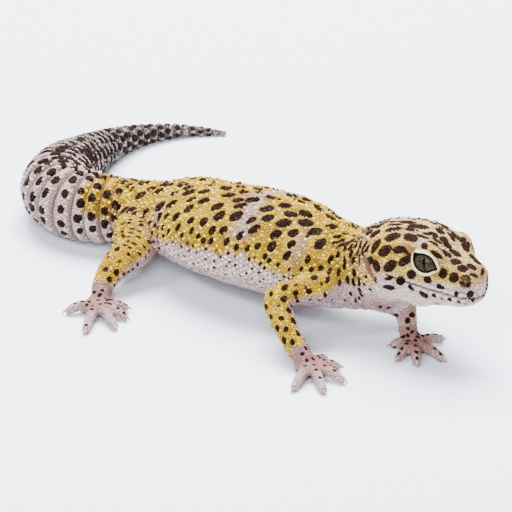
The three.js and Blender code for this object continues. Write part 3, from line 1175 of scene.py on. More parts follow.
def relaxed(points: Array, edges: Array, weights: Array, rounds: int) -> Array:
    """Points drawn to the middle of their neighbours.

    Args:
        points: one a row.
        edges: pairs of points.
        weights: how far each point goes in one round.
        rounds: how often.

    Returns:
        The new points.
    """
    count = len(points)
    both = np.concatenate([edges, edges[:, ::-1]])
    degree = np.maximum(np.bincount(both[:, 0], minlength=count), 1)[:, None]
    for _ in range(rounds):
        total = np.stack([np.bincount(both[:, 0], points[both[:, 1], k], count) for k in range(3)], 1)
        points = points + weights[:, None] * (total / degree - points)
    return points


def new_object(name: str, raw: RawMesh) -> bpy.types.Object:
    """An object at the origin that holds the mesh as it is.

    Args:
        name: the object's name.
        raw: its mesh.

    Returns:
        The object, linked to the scene.
    """
    mesh = bpy.data.meshes.new(name)
    mesh.from_pydata(np.asarray(raw.points).tolist(), [], raw.faces)
    mesh.update()
    made = bpy.data.objects.new(name, mesh)
    bpy.context.scene.collection.objects.link(made)
    return made


def applied(made: bpy.types.Object) -> bpy.types.Object:
    """Turns an object's modifiers into its mesh.

    Args:
        made: the object with its modifiers.

    Returns:
        The same object with the plain mesh and no modifier.
    """
    graph = bpy.context.evaluated_depsgraph_get()
    final = made.evaluated_get(graph)
    mesh = bpy.data.meshes.new_from_object(final, preserve_all_data_layers=True, depsgraph=graph)
    made.modifiers.clear()
    old = made.data
    made.data = mesh
    bpy.data.meshes.remove(old)
    mesh.name = made.name
    return made


def discard(made: bpy.types.Object) -> None:
    """Takes an object away with its mesh.

    Args:
        made: the object.
    """
    mesh = made.data
    bpy.data.objects.remove(made)
    bpy.data.meshes.remove(mesh)


def write_attribute(mesh: bpy.types.Mesh, name: str, values: Array, domain: str = "POINT") -> None:
    """Keeps a number or a vector for each point or face.

    Args:
        mesh: the mesh that keeps it.
        name: the attribute's name.
        values: a row for each point or face, of one number or three.
        domain: what the rows belong to.
    """
    values = np.asarray(values, np.float32)
    kind, key = ("FLOAT", "value") if values.ndim == 1 else ("FLOAT_VECTOR", "vector")
    layer = mesh.attributes.get(name) or mesh.attributes.new(name, kind, domain)
    layer.data.foreach_set(key, values.ravel())


def smooth(made: bpy.types.Object) -> None:
    """Shades all faces smoothly."""
    made.data.polygons.foreach_set("use_smooth", np.ones(len(made.data.polygons), bool))
    made.data.update()


# ---------------------------------------------------------------- the skin


@dataclass
class Skin:
    """One closed skin over head, body and legs, with the eye openings sunk behind the eyeballs."""

    animal: Animal
    lids: tuple[LidLine, LidLine]
    voxel: float = 0.5
    pouch_swell: float = 1.15
    sunk: float = 0.45  # how far the skin lies inside the eyeball
    collar: float = 0.26  # how far it stands over the eyeball round the opening
    dive: tuple[float, float] = (-0.66, -0.34)  # where it dives behind the eyeball, from the lids' edge
    sole: float = 0.03  # the least height of a foot's skin over the floor
    head_relief: HeadRelief = field(default_factory=HeadRelief)
    body_relief: BodyRelief = field(default_factory=BodyRelief)

    def rough(self) -> bpy.types.Object:
        """All forms melted into one mesh.

        Returns:
            The object of the melted mesh, in bench millimetres.
        """
        forms = (self.animal.trunk, self.animal.head, *self.animal.limbs)
        made = new_object("skin", RawMesh.joined([form.mesh() for form in forms]))
        melt = made.modifiers.new("melt", "REMESH")
        melt.mode = "VOXEL"
        melt.voxel_size = self.voxel
        return applied(made)

    def soften(self, mesh: bpy.types.Mesh) -> None:
        """Rounds the creases where forms meet, and smooths the rest a little.

        Args:
            mesh: the mesh, which is changed.
        """
        points, edges = read_points(mesh), read_edges(mesh)
        places = self.animal.survey(points)
        thin = (1 - 0.75 * places.on_foot) * (1 - 0.9 * ease(places.along, 165, 182))
        points = relaxed(points, edges, 0.5 * thin, 3)
        form = np.minimum(places.body_over, places.head_over)
        crease = bump(form, 0.6, 2.2) * bump(places.limb_over, 0.6, 2.2) * (1 - places.on_foot)
        nape = bump(places.body_over, 0.4, 1.6) * bump(places.head_over, 0.4, 1.6)
        nape *= ease(places.local[:, 0], 6, -3)
        toes = 0.25 * places.on_foot * ease(places.toe_share, 0.35, 0.1)
        weights = np.clip(np.maximum(np.maximum(crease, nape) * 0.8, toes), 0, 0.8)
        weights[weights < 0.05] = 0
        write_points(mesh, relaxed(points, edges, weights, 26))

    def refine(self, mesh: bpy.types.Mesh) -> None:
        """Halves the faces of the head and feet.

        Args:
            mesh: the mesh, which is changed.
        """
        points = read_points(mesh)
        places = self.animal.survey(points)
        fine = (places.on_head > 0.2) | (places.on_foot > 0.3)
        work = bmesh.new()
        work.from_mesh(mesh)
        work.verts.ensure_lookup_table()
        edges = [edge for edge in work.edges if all(fine[end.index] for end in edge.verts)]
        bmesh.ops.subdivide_edges(work, edges=edges, cuts=1, use_grid_fill=True)
        work.to_mesh(mesh)
        work.free()
        points = read_points(mesh)
        places = self.animal.survey(points)
        soft = 0.5 * np.maximum(places.on_head, 0.5 * places.on_foot)
        write_points(mesh, relaxed(points, read_edges(mesh), soft, 3))

    def carve(self, mesh: bpy.types.Mesh) -> None:
        """Presses the relief into the skin, sinks the eye openings and sets the soles on the floor.

        Args:
            mesh: the mesh, which is changed.
        """
        points, normals = read_points(mesh), read_normals(mesh)
        places = self.animal.survey(points)
        height = self.head_relief.relief(places) + self.body_relief.relief(places)
        height += self.pouch_swell * pouch(points) * (1 - places.on_limb)
        points = points + normals * height[:, None]
        local = self.animal.head.into(points)
        settle = np.zeros(len(points))
        for lid in self.lids:
            away = local - lid.middle
            distance = np.linalg.norm(away, axis=1)
            near = (distance < 7) & (away @ lid.gaze > -1.5)
            depth = np.full(len(points), -9.0)
            depth[near] = lid.inside(local[near])
            sunk = lid.middle + unit(away) * np.minimum(distance, lid.radius - self.sunk)[:, None]
            share = ease(depth, *self.dive)[:, None]
            local = local * (1 - share) + sunk * share
            # a low collar round the opening
            collar = near & (depth <= self.dive[1])
            reach = ease(-depth, 2.0, 0.8) * (1 - share[:, 0]) * collar
            want = lid.radius + self.collar + 0.2 * np.clip(-depth, 0, 3)
            reach *= ease(distance - want, 1.2, 0.5)
            distance = distance * (1 - reach) + want * reach
            settle = np.maximum(settle, ease(-depth, 1.1, 1.5) * ease(-depth, 3.6, 2.8))
            bare = collar & (share[:, 0] < 1)
            moved = lid.middle + unit(away) * distance[:, None]
            local = np.where(bare[:, None], moved * (1 - share) + sunk * share, local)
        on_face = places.on_head > 0.5
        points[on_face] = self.animal.head.out(local)[on_face]
        points = relaxed(points, read_edges(mesh), 0.6 * settle * on_face, 8)
        z = points[:, 2]
        points[:, 2] = np.where(places.on_foot > 0.2, np.maximum(z, self.sole), z)
        write_points(mesh, points)

    def build(self) -> bpy.types.Object:
        """Makes the skin, in bench millimetres.

        Returns:
            The skin's object, at the origin.
        """
        made = self.rough()
        self.soften(made.data)
        self.refine(made.data)
        self.carve(made.data)
        smooth(made)
        return made


# ---------------------------------------------------------------- places to put things on the skin


@dataclass
class Seat:
    """A place on the skin: where, the way out, the way ahead, and the way up across it."""

    at: Array
    normal: Array
    ahead: Array
    high: Array


@dataclass
class Ground:
    """The finished skin, on which spots, scales and lips find their seats."""

    animal: Animal
    tree: BVHTree

    STEEPEST = 0.35  # the least cosine between the skin's normal and the way out

    @staticmethod
    def over(animal: Animal, mesh: bpy.types.Mesh) -> "Ground":
        """The ground of a skin in bench millimetres.

        Args:
            animal: the animal.
            mesh: its skin, in bench millimetres.

        Returns:
            The ground, ready to be asked for seats.
        """
        points = read_points(mesh).tolist()
        faces = [tuple(face.vertices) for face in mesh.polygons]
        return Ground(animal, BVHTree.FromPolygons(points, faces))

    def cast(self, start: Array, way: Array, ahead: Array, sign: int) -> Seat | None:
        """Looks for the skin from inside the animal.

        Args:
            start: a place within.
            way: the direction out.
            ahead: roughly the way ahead along the skin.
            sign: -1 on the right side, 1 on the left.

        Returns:
            The seat on the skin, or None where there is none.
        """
        at, normal, _, _ = self.tree.ray_cast(start.tolist(), way.tolist(), 40)
        if at is None:
            return None
        out = np.array(normal)
        if out @ way < 0:
            out = -out
        if out @ way < self.STEEPEST:
            return None
        forward = unit(ahead - out * (ahead @ out))
        return Seat(np.array(at), out, forward, np.cross(out, forward) * -sign)

    def on_body(self, along: float, turn: float) -> Seat | None:
        """The seat at a length along the body and a turn round it."""
        start, way, ahead = self.animal.trunk.ray(along, turn)
        return self.cast(start, way, ahead, -1 if turn >= 0 else 1)

    def on_head(self, x: float, cheek: float, sign: int) -> Seat | None:
        """The seat at a length along the head and an angle down from its top on one side.

        Args:
            x: the length along the head.
            cheek: degrees down from its top.
            sign: 1 on the left and -1 on the right.

        Returns:
            The seat, or None where the skin is not found.
        """
        angle = math.radians(cheek)
        way = self.animal.head.turned @ np.array([0, sign * math.sin(angle), math.cos(angle)])
        start = self.animal.head.out(np.array([x, 0.0, 0.0]))
        return self.cast(start, way, self.animal.head.turned[:, 0], sign)

    def on_limb(self, leg: Limb, along: float, turn: float) -> Seat | None:
        """The seat at a length along a leg and a turn from its crest."""
        start, way, ahead = leg.ray(along, turn)
        return self.cast(start, way, ahead, leg.sign)


# ---------------------------------------------------------------- markings


@dataclass(frozen=True)
class SpotField:
    """How the spots of the trunk change from the top of the back down to the belly."""

    turns: tuple[float, ...] = (0, 18, 33, 47, 58, 70, 80, 92, 104)
    long: tuple[float, ...] = (1.9, 1.95, 1.85, 1.7, 1.45, 1.1, 0.6, 0.48, 0.4)
    wide: tuple[float, ...] = (1.15, 1.22, 1.25, 1.18, 1.02, 0.8, 0.46, 0.38, 0.32)
    lean: tuple[float, ...] = (8, 24, 38, 52, 62, 70, 62, 45, 40)
    gap: tuple[float, ...] = (0.42, 0.42, 0.42, 0.42, 0.44, 0.46, 0.6, 0.75, 1.1)
    first: float = 18
    last: float = 81.5
    girth: float = 13.2
    tries: int = 5000


@dataclass
class Spots:
    """All dark spots as leaning ovals on the skin."""

    centres: list[Array] = field(default_factory=list)
    longs: list[Array] = field(default_factory=list)
    wides: list[Array] = field(default_factory=list)
    sizes: list[float] = field(default_factory=list)
    faint: list[bool] = field(default_factory=list)

    THICK = 1.6  # how far from its skin a spot still reaches

    def add(
        self, seat: Seat | None, long: float, wide: float, lean: float, room: float = 0, faint: bool = False
    ) -> None:
        """Adds an oval of half sizes long and wide, turned up from the way ahead by lean degrees.

        Args:
            seat: its place, or None.
            long: half its length in millimetres.
            wide: half its width in millimetres.
            lean: degrees up from the way ahead.
            room: the least distance to any other spot, as a share of their sizes; nearer ones are left out.
            faint: whether the ground shows through it.
        """
        if seat is None:
            return
        size = math.sqrt(long * wide)
        if room and self.centres:
            gaps = np.linalg.norm(np.array(self.centres) - seat.at, axis=1)
            if (gaps < room * (size + np.array(self.sizes))).any():
                return
        self.sizes.append(size)
        self.faint.append(faint)
        angle = math.radians(lean)
        way = seat.ahead * math.cos(angle) + seat.high * math.sin(angle)
        self.centres.append(seat.at)
        self.longs.append(way / long)
        self.wides.append(np.cross(seat.normal, way) / wide)

    def ink(self, points: Array) -> Array:
        """How far inside a spot points are, in millimetres; negative outside.

        Args:
            points: bench millimetres.

        Returns:
            Depth in the deepest spot at each point, at least -3.
        """
        order = np.argsort(points[:, 0])
        sorted_points = points[order]
        xs = sorted_points[:, 0]
        best = np.full(len(points), -3.0)
        for centre, long, wide, faint in zip(self.centres, self.longs, self.wides, self.faint):
            reach = 1 / np.linalg.norm(long) + self.THICK
            low, high = np.searchsorted(xs, [centre[0] - reach, centre[0] + reach])
            away = sorted_points[low:high] - centre
            near = (np.abs(away[:, 1]) < reach) & (np.abs(away[:, 2]) < reach)
            away = away[near]
            size = 1 / np.linalg.norm(wide)
            depth = (1 - np.hypot(away @ long, away @ wide)) * size
            off_skin = np.abs(away @ unit(np.cross(long, wide)))
            depth = depth - np.maximum(off_skin - self.THICK, 0) * 2
            depth = np.minimum(depth, 0.03) if faint else depth
            found = best[low:high]
            found[near] = np.maximum(found[near], depth)
        result = np.empty(len(points))
        result[order] = best
        return result


HEAD_SPOTS: tuple[tuple[float, float, float, float, float], ...] = (
    # x, degrees from the top, half length, half width, lean: the hook behind the eye
    (8.5, 56, 1.4, 0.85, 30), (10.7, 54, 1.4, 0.8, -20),
    (11.5, 60, 1.1, 0.75, -45), (10.9, 68, 1.5, 0.85, 42),
    # temple and cheek
    (5.1, 63, 1.7, 1.15, 39), (7.6, 79, 1.9, 1.0, 44), (3.4, 84, 1.4, 1.0, -45), (1.5, 61, 1.9, 1.0, 78),
    (4.6, 43, 1.8, 1.25, 35), (9.3, 34, 1.9, 1.0, -3), (-1.6, 45, 1.4, 1.1, 70), (-4.6, 45, 1.1, 0.8, -30),
    (0.9, 81, 1.4, 0.8, 24), (13.2, 83, 1.1, 0.9, 20), (17.3, 86, 1.0, 0.75, 10), (10.6, 96, 1.1, 0.8, 30),
    (7.1, 96, 1.2, 0.4, 16), (7.1, 108, 1.4, 0.6, 4),
    # snout
    (20.5, 68, 1.1, 0.9, -57), (23.4, 69, 1.15, 1.05, 10),
    (26.0, 74, 1.35, 1.2, -65), (26.75, 124, 0.85, 0.75, -75),
    (24.0, 36, 1.2, 0.9, 19), (21.6, 29, 1.2, 0.8, 30), (18.7, 27, 1.4, 0.75, 31), (24.8, 8, 1.2, 0.7, 30),
    (26.6, 30, 1.2, 0.35, 44), (26.8, 100, 0.9, 0.4, 80),
    # crown, in curved rows
    (19.5, 7, 1.4, 0.85, 16), (16.3, 28, 1.5, 0.4, 10), (7.3, 7, 2.4, 1.2, 20), (2.8, 2, 2.2, 1.0, 5),
    (2.7, 30, 2.0, 0.9, 30), (7.0, 21, 2.1, 0.5, 15), (1.0, 18, 2.0, 0.5, 20), (-3.5, 28, 1.5, 0.9, 60),
    (12.7, 9, 1.3, 0.75, 5), (11.6, 24, 1.5, 0.42, 8), (15.2, 3, 1.1, 0.85, 30), (15.3, 15, 1.7, 0.4, 13),
    (16.9, 6, 1.0, 0.7, 0), (14.9, 25, 1.3, 0.4, 24),
    (14.4, 38, 1.1, 0.65, -20), (18.3, 42, 1.5, 0.45, -12),
    (11.4, 16, 1.0, 0.4, 9), (-1.6, 8, 1.9, 0.7, 20), (-5.5, 12, 1.7, 0.7, 25), (-5.8, 33, 1.3, 0.6, 55),
    # lips and jaw
    (20.2, 95, 0.65, 0.5, 20), (21.2, 97, 0.45, 0.3, 0),
    (24.3, 110, 0.6, 0.35, 80), (13.3, 104, 0.85, 0.45, -50),
    (15.9, 115, 1.1, 0.7, -44), (18.6, 116, 0.8, 0.55, 60),
    (20.3, 123, 0.55, 0.35, -70), (22.5, 125, 0.7, 0.5, 70),
    (24.4, 134, 0.5, 0.4, -30), (25.4, 146, 0.45, 0.22, -50),
    (26.6, 150, 0.4, 0.3, 0), (17.8, 143, 0.8, 0.25, 0),
    (2.8, 150, 0.55, 0.35, -30), (5.4, 150, 0.5, 0.25, 0), (1.6, 143, 0.45, 0.3, 50),
    # before and under the ear
    (-0.9, 106, 0.6, 0.35, 23), (3.3, 103, 0.6, 0.35, -43),
    (-0.2, 122, 0.6, 0.3, -40), (-1.8, 118, 0.5, 0.25, -60),
    (-3.1, 112, 0.6, 0.25, -75), (-2.9, 69, 1.7, 0.42, 78),
    (-1.4, 70, 1.4, 0.45, 75), (-4.8, 73, 1.6, 0.42, 78),
)

REDDISH = (26.0, 74)  # the spot by the nostril, through which the skin shows
LEFT_SPOTS = ((17.4, 30, 0.9), (18.9, 34, 1.0), (15.4, 36, 0.7), (26.5, 110, 0.9))  # on the left side alone


@dataclass
class Markings:
    """Lays out every spot, and knows how the hide is tinted."""

    ground: Ground
    rings: TailRings
    spots: Spots = field(default_factory=Spots)
    random: np.random.Generator = field(default_factory=lambda: np.random.default_rng(45))

    # how far down the flank the yellow reaches, in degrees, by length along the body
    GOLD_ALONG = (0, 12, 20, 25, 32, 40, 50, 60, 67, 76, 84, 89, 94, 98)
    GOLD_EDGE = (106, 100, 88, 88, 83, 82, 83, 86, 89, 92, 92, 85, 78, 66)
    # where the mauve band crosses the back, by degrees from its top
    BAND_SIDE = (0, 18, 36, 55, 70)
    BAND_ALONG = (43, 41.4, 40.6, 40.2, 41)

    def __post_init__(self) -> None:
        """Places the spots of each part of the body."""
        self.head()
        self.neck()
        self.trunk()
        self.tail()
        for number, leg in enumerate(self.ground.animal.limbs):
            self.leg(leg, front=number < 2)

    def jitter(self, size: float) -> float:
        """A seeded amount from -size to size."""
        return float(self.random.uniform(-size, size))

    def head(self) -> None:
        """The head's own spots, a little different on the left."""
        for x, cheek, long, wide, lean in HEAD_SPOTS:
            for _, sign in SIDES:
                ahead, down = (self.jitter(0.5), self.jitter(3)) if sign > 0 else (0.0, 0.0)
                seat = self.ground.on_head(x + ahead, cheek + down, sign)
                grown = 1.18 + 0.05 * float(ease(cheek, 95, 105)) + 0.04 * float(ease(cheek, 40, 20))
                faint = (x, cheek) == REDDISH
                room = 0.0 if sign < 0 else 0.62 + 0.2 * float(ease(cheek, 20, 12))
                self.spots.add(seat, long * grown, (wide + 0.09) * grown, lean, room, faint)
        for x, cheek, long in LEFT_SPOTS:
            self.spots.add(self.ground.on_head(x, cheek, 1), long, 0.55, 30, 0.4)

    def neck(self) -> None:
        """Narrow upright dashes between the neck's folds."""
        for sign in (1, -1):
            for column, along in enumerate(np.arange(1.5, 19, 1.75)):
                pace = 11 if along < 12 else 13  # wider apart towards the shoulders
                for turn in np.arange(14 + (column % 2) * pace / 2, 128, pace):
                    if self.random.random() < 0.12:
                        continue
                    low = 1 - 0.3 * ease(turn, 85, 110)
                    long = (1.15 + self.jitter(0.25)) * low
                    wide = (0.5 + self.jitter(0.1)) * low
                    place = self.ground.on_body(along + self.jitter(0.35), sign * (turn + self.jitter(3)))
                    if place is None or self.ground.animal.head.into(place.at[None])[0, 0] > -3:
                        continue
                    lean = np.interp(turn, [10, 35, 60], [15, 55, 82]) + self.jitter(8)
                    self.spots.add(place, long, wide, lean, 0.95)

    def trunk(self) -> None:
        """Slanted ovals over the back and flanks, thrown at random where there is room for them."""
        plan = SpotField()
        for sign in (1, -1):
            kept = np.empty((0, 5))
            for _ in range(plan.tries):
                along = self.random.uniform(plan.first, plan.last)
                turn = self.random.uniform(-4, 116)
                rows = (plan.long, plan.wide, plan.lean, plan.gap)
                long, wide, lean, gap = (float(np.interp(abs(turn), plan.turns, row)) for row in rows)
                size = 1 + self.jitter(0.18)
                lean += 20 * float(ease(along, 27, 19)) + self.jitter(9)
                angle = math.radians(lean)
                away = kept[:, :2] - (along, math.radians(turn) * plan.girth)
                ahead = -away[:, 0] * math.cos(angle) + -away[:, 1] * math.sin(angle)
                across = away[:, 0] * math.sin(angle) - away[:, 1] * math.cos(angle)
                room = np.hypot(ahead / (long + kept[:, 2] + gap), across / (wide + kept[:, 3] + gap))
                if (room < 1).any():
                    continue
                row = (along, math.radians(turn) * plan.girth, long * size, wide * size, gap)
                kept = np.vstack([kept, row])
                seat = self.ground.on_body(along, sign * turn)
                self.spots.add(seat, long * size, wide * size * (1 + self.jitter(0.1)), lean, 0.95)

    def tail(self) -> None:
        """Blocky spots in rings, one ring to a whorl, closer and darker to the tip."""
        for row in range(2 * WHORLS):
            whorl, second = divmod(row, 2)
            along = self.rings.place(whorl + 0.5)
            paired = 112 < along < 152
            if along > 186 or along < 83 or (second and not paired):
                continue
            if paired:
                along = self.rings.place(whorl + (0.74 if second else 0.26))
            width = self.rings.width(along)
            round_ = 2 * math.pi * self.rings.girth(along)
            apart = np.interp(along, [84, 118, 135, 160, 185], [4.1, 3.9, 3.4, 2.9, 2.2])
            count = max(5, round(round_ / apart))
            for k in range(count):
                shift = 0.5 * ((row if paired else whorl) % 2)
                turn = ((k + shift) * 360 / count + self.jitter(4) + 180) % 360 - 180
                under = float(ease(abs(turn), 95, 150))
                if self.random.random() < 0.06 + 0.4 * under:
                    continue
                far = float(ease(along, 112, 132))
                small = 1 - 0.45 * under * (1 - far)
                wide = width * ((0.24 if paired else 0.33) + self.jitter(0.03)) * small
                plain = 0.3 + 0.05 * float(ease(along, 98, 106))
                long = round_ / count * ((0.42 if paired else plain) + self.jitter(0.05)) * small
                seat = self.ground.on_body(along + self.jitter(width * 0.12), turn)
                self.spots.add(seat, max(long, 0.3), max(wide, 0.3), 88 + self.jitter(10), 0.6)

    def leg(self, leg: Limb, front: bool) -> None:
        """Round spots down a leg, and small ones on the foot and toes.

        Args:
            leg: the leg.
            front: whether it is a front one.
        """
        wrist, start = leg.station(leg.wrist), leg.station(1.4)
        for column, turn in enumerate((-95, -48, 0, 46, 92)):
            middle = abs(turn) < 60
            step = (3.7 if middle else 2.6) * (0.92 if front else 0.88)
            for along in np.arange(start + (column % 2) * step / 2, wrist - 0.8, step):
                size = (0.82 if middle else 0.5) + self.jitter(0.14)
                if not front and along < leg.station(3.2):
                    continue
                seat = self.ground.on_limb(leg, along + self.jitter(0.4), turn + self.jitter(9))
                lean = self.jitter(40) + (0 if middle else 80)
                self.spots.add(seat, size * 1.12, size * 0.9, lean, 1.1)
        for column, turn in enumerate(() if front else (-88, -60, -32, -6, 20, 46, 74)):
            for along in np.arange(start - 1.0 + (column % 2) * 0.8, leg.station(3.3), 1.65):
                seat = self.ground.on_limb(leg, along + self.jitter(0.3), turn + self.jitter(4))
                self.spots.add(seat, 0.72 + self.jitter(0.15), 0.36, 90 + self.jitter(25), 1.05)
        palm = np.array(leg.palm_at)
        for _ in range(60):
            place = palm + (self.jitter(3.8), self.jitter(3.8), 0)
            seat = self.ground.cast(place - UP, UP, np.array([1.0, 0, 0]), leg.sign)
            self.spots.add(seat, 0.62 + self.jitter(0.12), 0.48, self.jitter(90), 1.2)
        for toe in leg.toes:
            spine = catmull(leg.toe_stations(toe), np.array([0.3, 0.62, 0.86]))
            for row, (x, y, z, _) in enumerate(spine):
                if self.random.random() < 0.25:
                    continue
                way = unit(spine[1, :3] - spine[0, :3])
                seat = self.ground.cast(np.array([x, y, z]), unit(UP + 0.3 * way), way, leg.sign)
                self.spots.add(seat, 0.75 - 0.08 * row, 0.5, self.jitter(25), 0.8)

    def ink(self, points: Array) -> Array:
        """Millimetres inside a dark spot, with uneven edges; negative outside."""
        return self.spots.ink(points) + 0.07 * ripple(points, 1.1, 62) + 0.06 * ripple(points, 0.5, 63)

    def tints(self, places: Places) -> dict[str, Array]:
        """What the hide's finish is mixed from.

        Args:
            places: where on the animal.

        Returns:
            The share of each tint, by attribute name.
        """
        points, along, side = places.points, places.along, places.side
        wander = ripple(points, 4.5, 61)
        grain = ripple(points, 1.1, 62)

        # the yellow of the trunk, and the mauve that crosses it
        edge = np.interp(along, self.GOLD_ALONG, self.GOLD_EDGE)
        gold = ease(side + 3 * wander + 3 * grain, edge + 4, edge - 4) * ease(along + wander, 99.5, 95.5)
        gold *= 1 - 0.35 * ease(along, 16, 4)
        band = np.interp(side, self.BAND_SIDE, self.BAND_ALONG)
        lilac = bump(along + 0.8 * wander, band, 2.5) * ease(side, 70, 57) * (0.65 + 0.3 * grain)
        lilac += 0.35 * bump(along, 25.2, 1.4) * bump(side, 52, 20)
        lilac += 0.45 * bump(along, 67.5, 1.8) * bump(side, 62, 15)
        lilac += 0.4 * ease(along, 18, 10) * ease(side, 96, 112)
        gold *= 1 - np.clip(lilac, 0, 0.9)

        # the yellow of the face
        x, cheek = places.local[:, 0], places.cheek
        low = 26 * ease(x, 5, 1.5)
        face = 0.82 * ease(cheek + 3 * wander, 100 + low, 82 + low) * (1 - 0.25 * bump(cheek, 0, 32))
        face += 0.2 * bump(x, 22.5, 3.5) * bump(cheek, 70, 14) + 0.2 * bump(x, 4, 6) * bump(cheek, 62, 18)
        face *= 1 - 0.6 * bump(x, 13, 1.6) * bump(cheek, 36, 9)

        # the yellow of the legs' outer sides
        limbs = self.ground.animal.limbs
        sizes = np.array([(leg.gold_turn, leg.gold_half, leg.station(leg.wrist)) for leg in limbs])
        middle, half, wrists = sizes[places.limb].T
        aside = np.abs((places.limb_turn - middle + 180) % 360 - 180)
        outer = ease(aside + 6 * wander - half, 12, -12)
        leg_gold = outer * (1 - places.on_foot)
        near_wrist = ease(places.limb_along + 1.5 * grain - wrists, -0.6, 1.3) * places.on_limb
        leg_gold *= (1 - 0.8 * near_wrist) * np.where(places.limb == 1, 0.5, 1)
        gold = gold * places.on_body + np.clip(face, 0, 1) * places.on_head + leg_gold * places.on_limb

        # the grey of the tail, deepest in its grooves
        tail = ease(along, 97, 101) * places.on_body
        grey = ease(along + 2 * wander, 112, 136) * tail
        grey += 0.7 * tail * ease(side, 75, 20) * ease(along, 102, 114) * (1 - ease(along, 120, 142))
        share, gap = self.rings.across(along)
        groove, ringed = 1 - ease(gap, 0.05, 0.13), self.rings.presence(along)
        grey *= 1 - 0.45 * bump(share, 0.5, 0.22) * ease(along, 140, 125)
        grey += (0.7 + 0.2 * ease(along, 102, 116)) * groove * ringed * places.on_body

        # the pink of the feet, snout, throat and ears, and pink painted shade in the creases where the legs
        # meet the body
        rose = (0.75 - 0.55 * ease(places.toe_share, 0.1, 0.6)) * places.on_foot
        rose += 0.4 * places.on_limb * (1 - outer)
        rose += 0.25 * near_wrist * (1 - places.on_foot)
        grey += places.on_foot * 0.42 * ease(places.toe_share, 0.55, 0.1) + 0.18 * near_wrist
        rose += places.on_head * 0.35 * ease(x, 24, 27)
        bare = pouch(points) * (1 - places.on_limb)
        rose += 0.5 * bare
        ear = ease(HeadRelief().ear(places), 1.3, 0.8) * places.on_head
        rose += 0.9 * ear + 0.7 * bump(x, 26.0, 1.6) * bump(cheek, 74, 9) * places.on_head
        # painted shade: grey deepens the ear's opening
        grey += 0.45 * ear
        rose += 0.55 * groove * ringed * ease(along, 135, 112) * places.on_body
        # painted shade: the creases where the legs meet the body are darkened with pink
        fold = bump(places.body_over, 0.8, 1.4) * bump(places.limb_over, 0.8, 1.4)
        rose += 0.8 * fold * ease(side, 45, 65) * ease(along, 24, 32)

        lilac = lilac * places.on_body + 0.9 * bare + 0.35 * tail * (1 - grey)
        lilac += 0.3 * places.on_body * ease(side, 100, 120)
        shares = {"gold": gold, "lilac": lilac, "grey": grey, "rose": rose}
        return {name: np.clip(values, 0, 1) for name, values in shares.items()}


# ---------------------------------------------------------------- node trees as sums


@dataclass(frozen=True)
class Value:
    """A number in a node tree that takes part in Python sums."""

    tree: "NodeSketch"
    socket: bpy.types.NodeSocket

    def __add__(self, other: "Value | float") -> "Value":
        """The sum."""
        return self.tree.sum("ADD", self, other)

    __radd__ = __add__

    def __sub__(self, other: "Value | float") -> "Value":
        """This less the other."""
        return self.tree.sum("SUBTRACT", self, other)

    def __rsub__(self, other: float) -> "Value":
        """The other less this."""
        return self.tree.sum("SUBTRACT", other, self)

    def __mul__(self, other: "Value | float") -> "Value":
        """The product."""
        return self.tree.sum("MULTIPLY", self, other)

    __rmul__ = __mul__

    def __truediv__(self, other: "Value | float") -> "Value":
        """This over the other."""
        return self.tree.sum("DIVIDE", self, other)

    def __rtruediv__(self, other: float) -> "Value":
        """The other over this."""
        return self.tree.sum("DIVIDE", other, self)


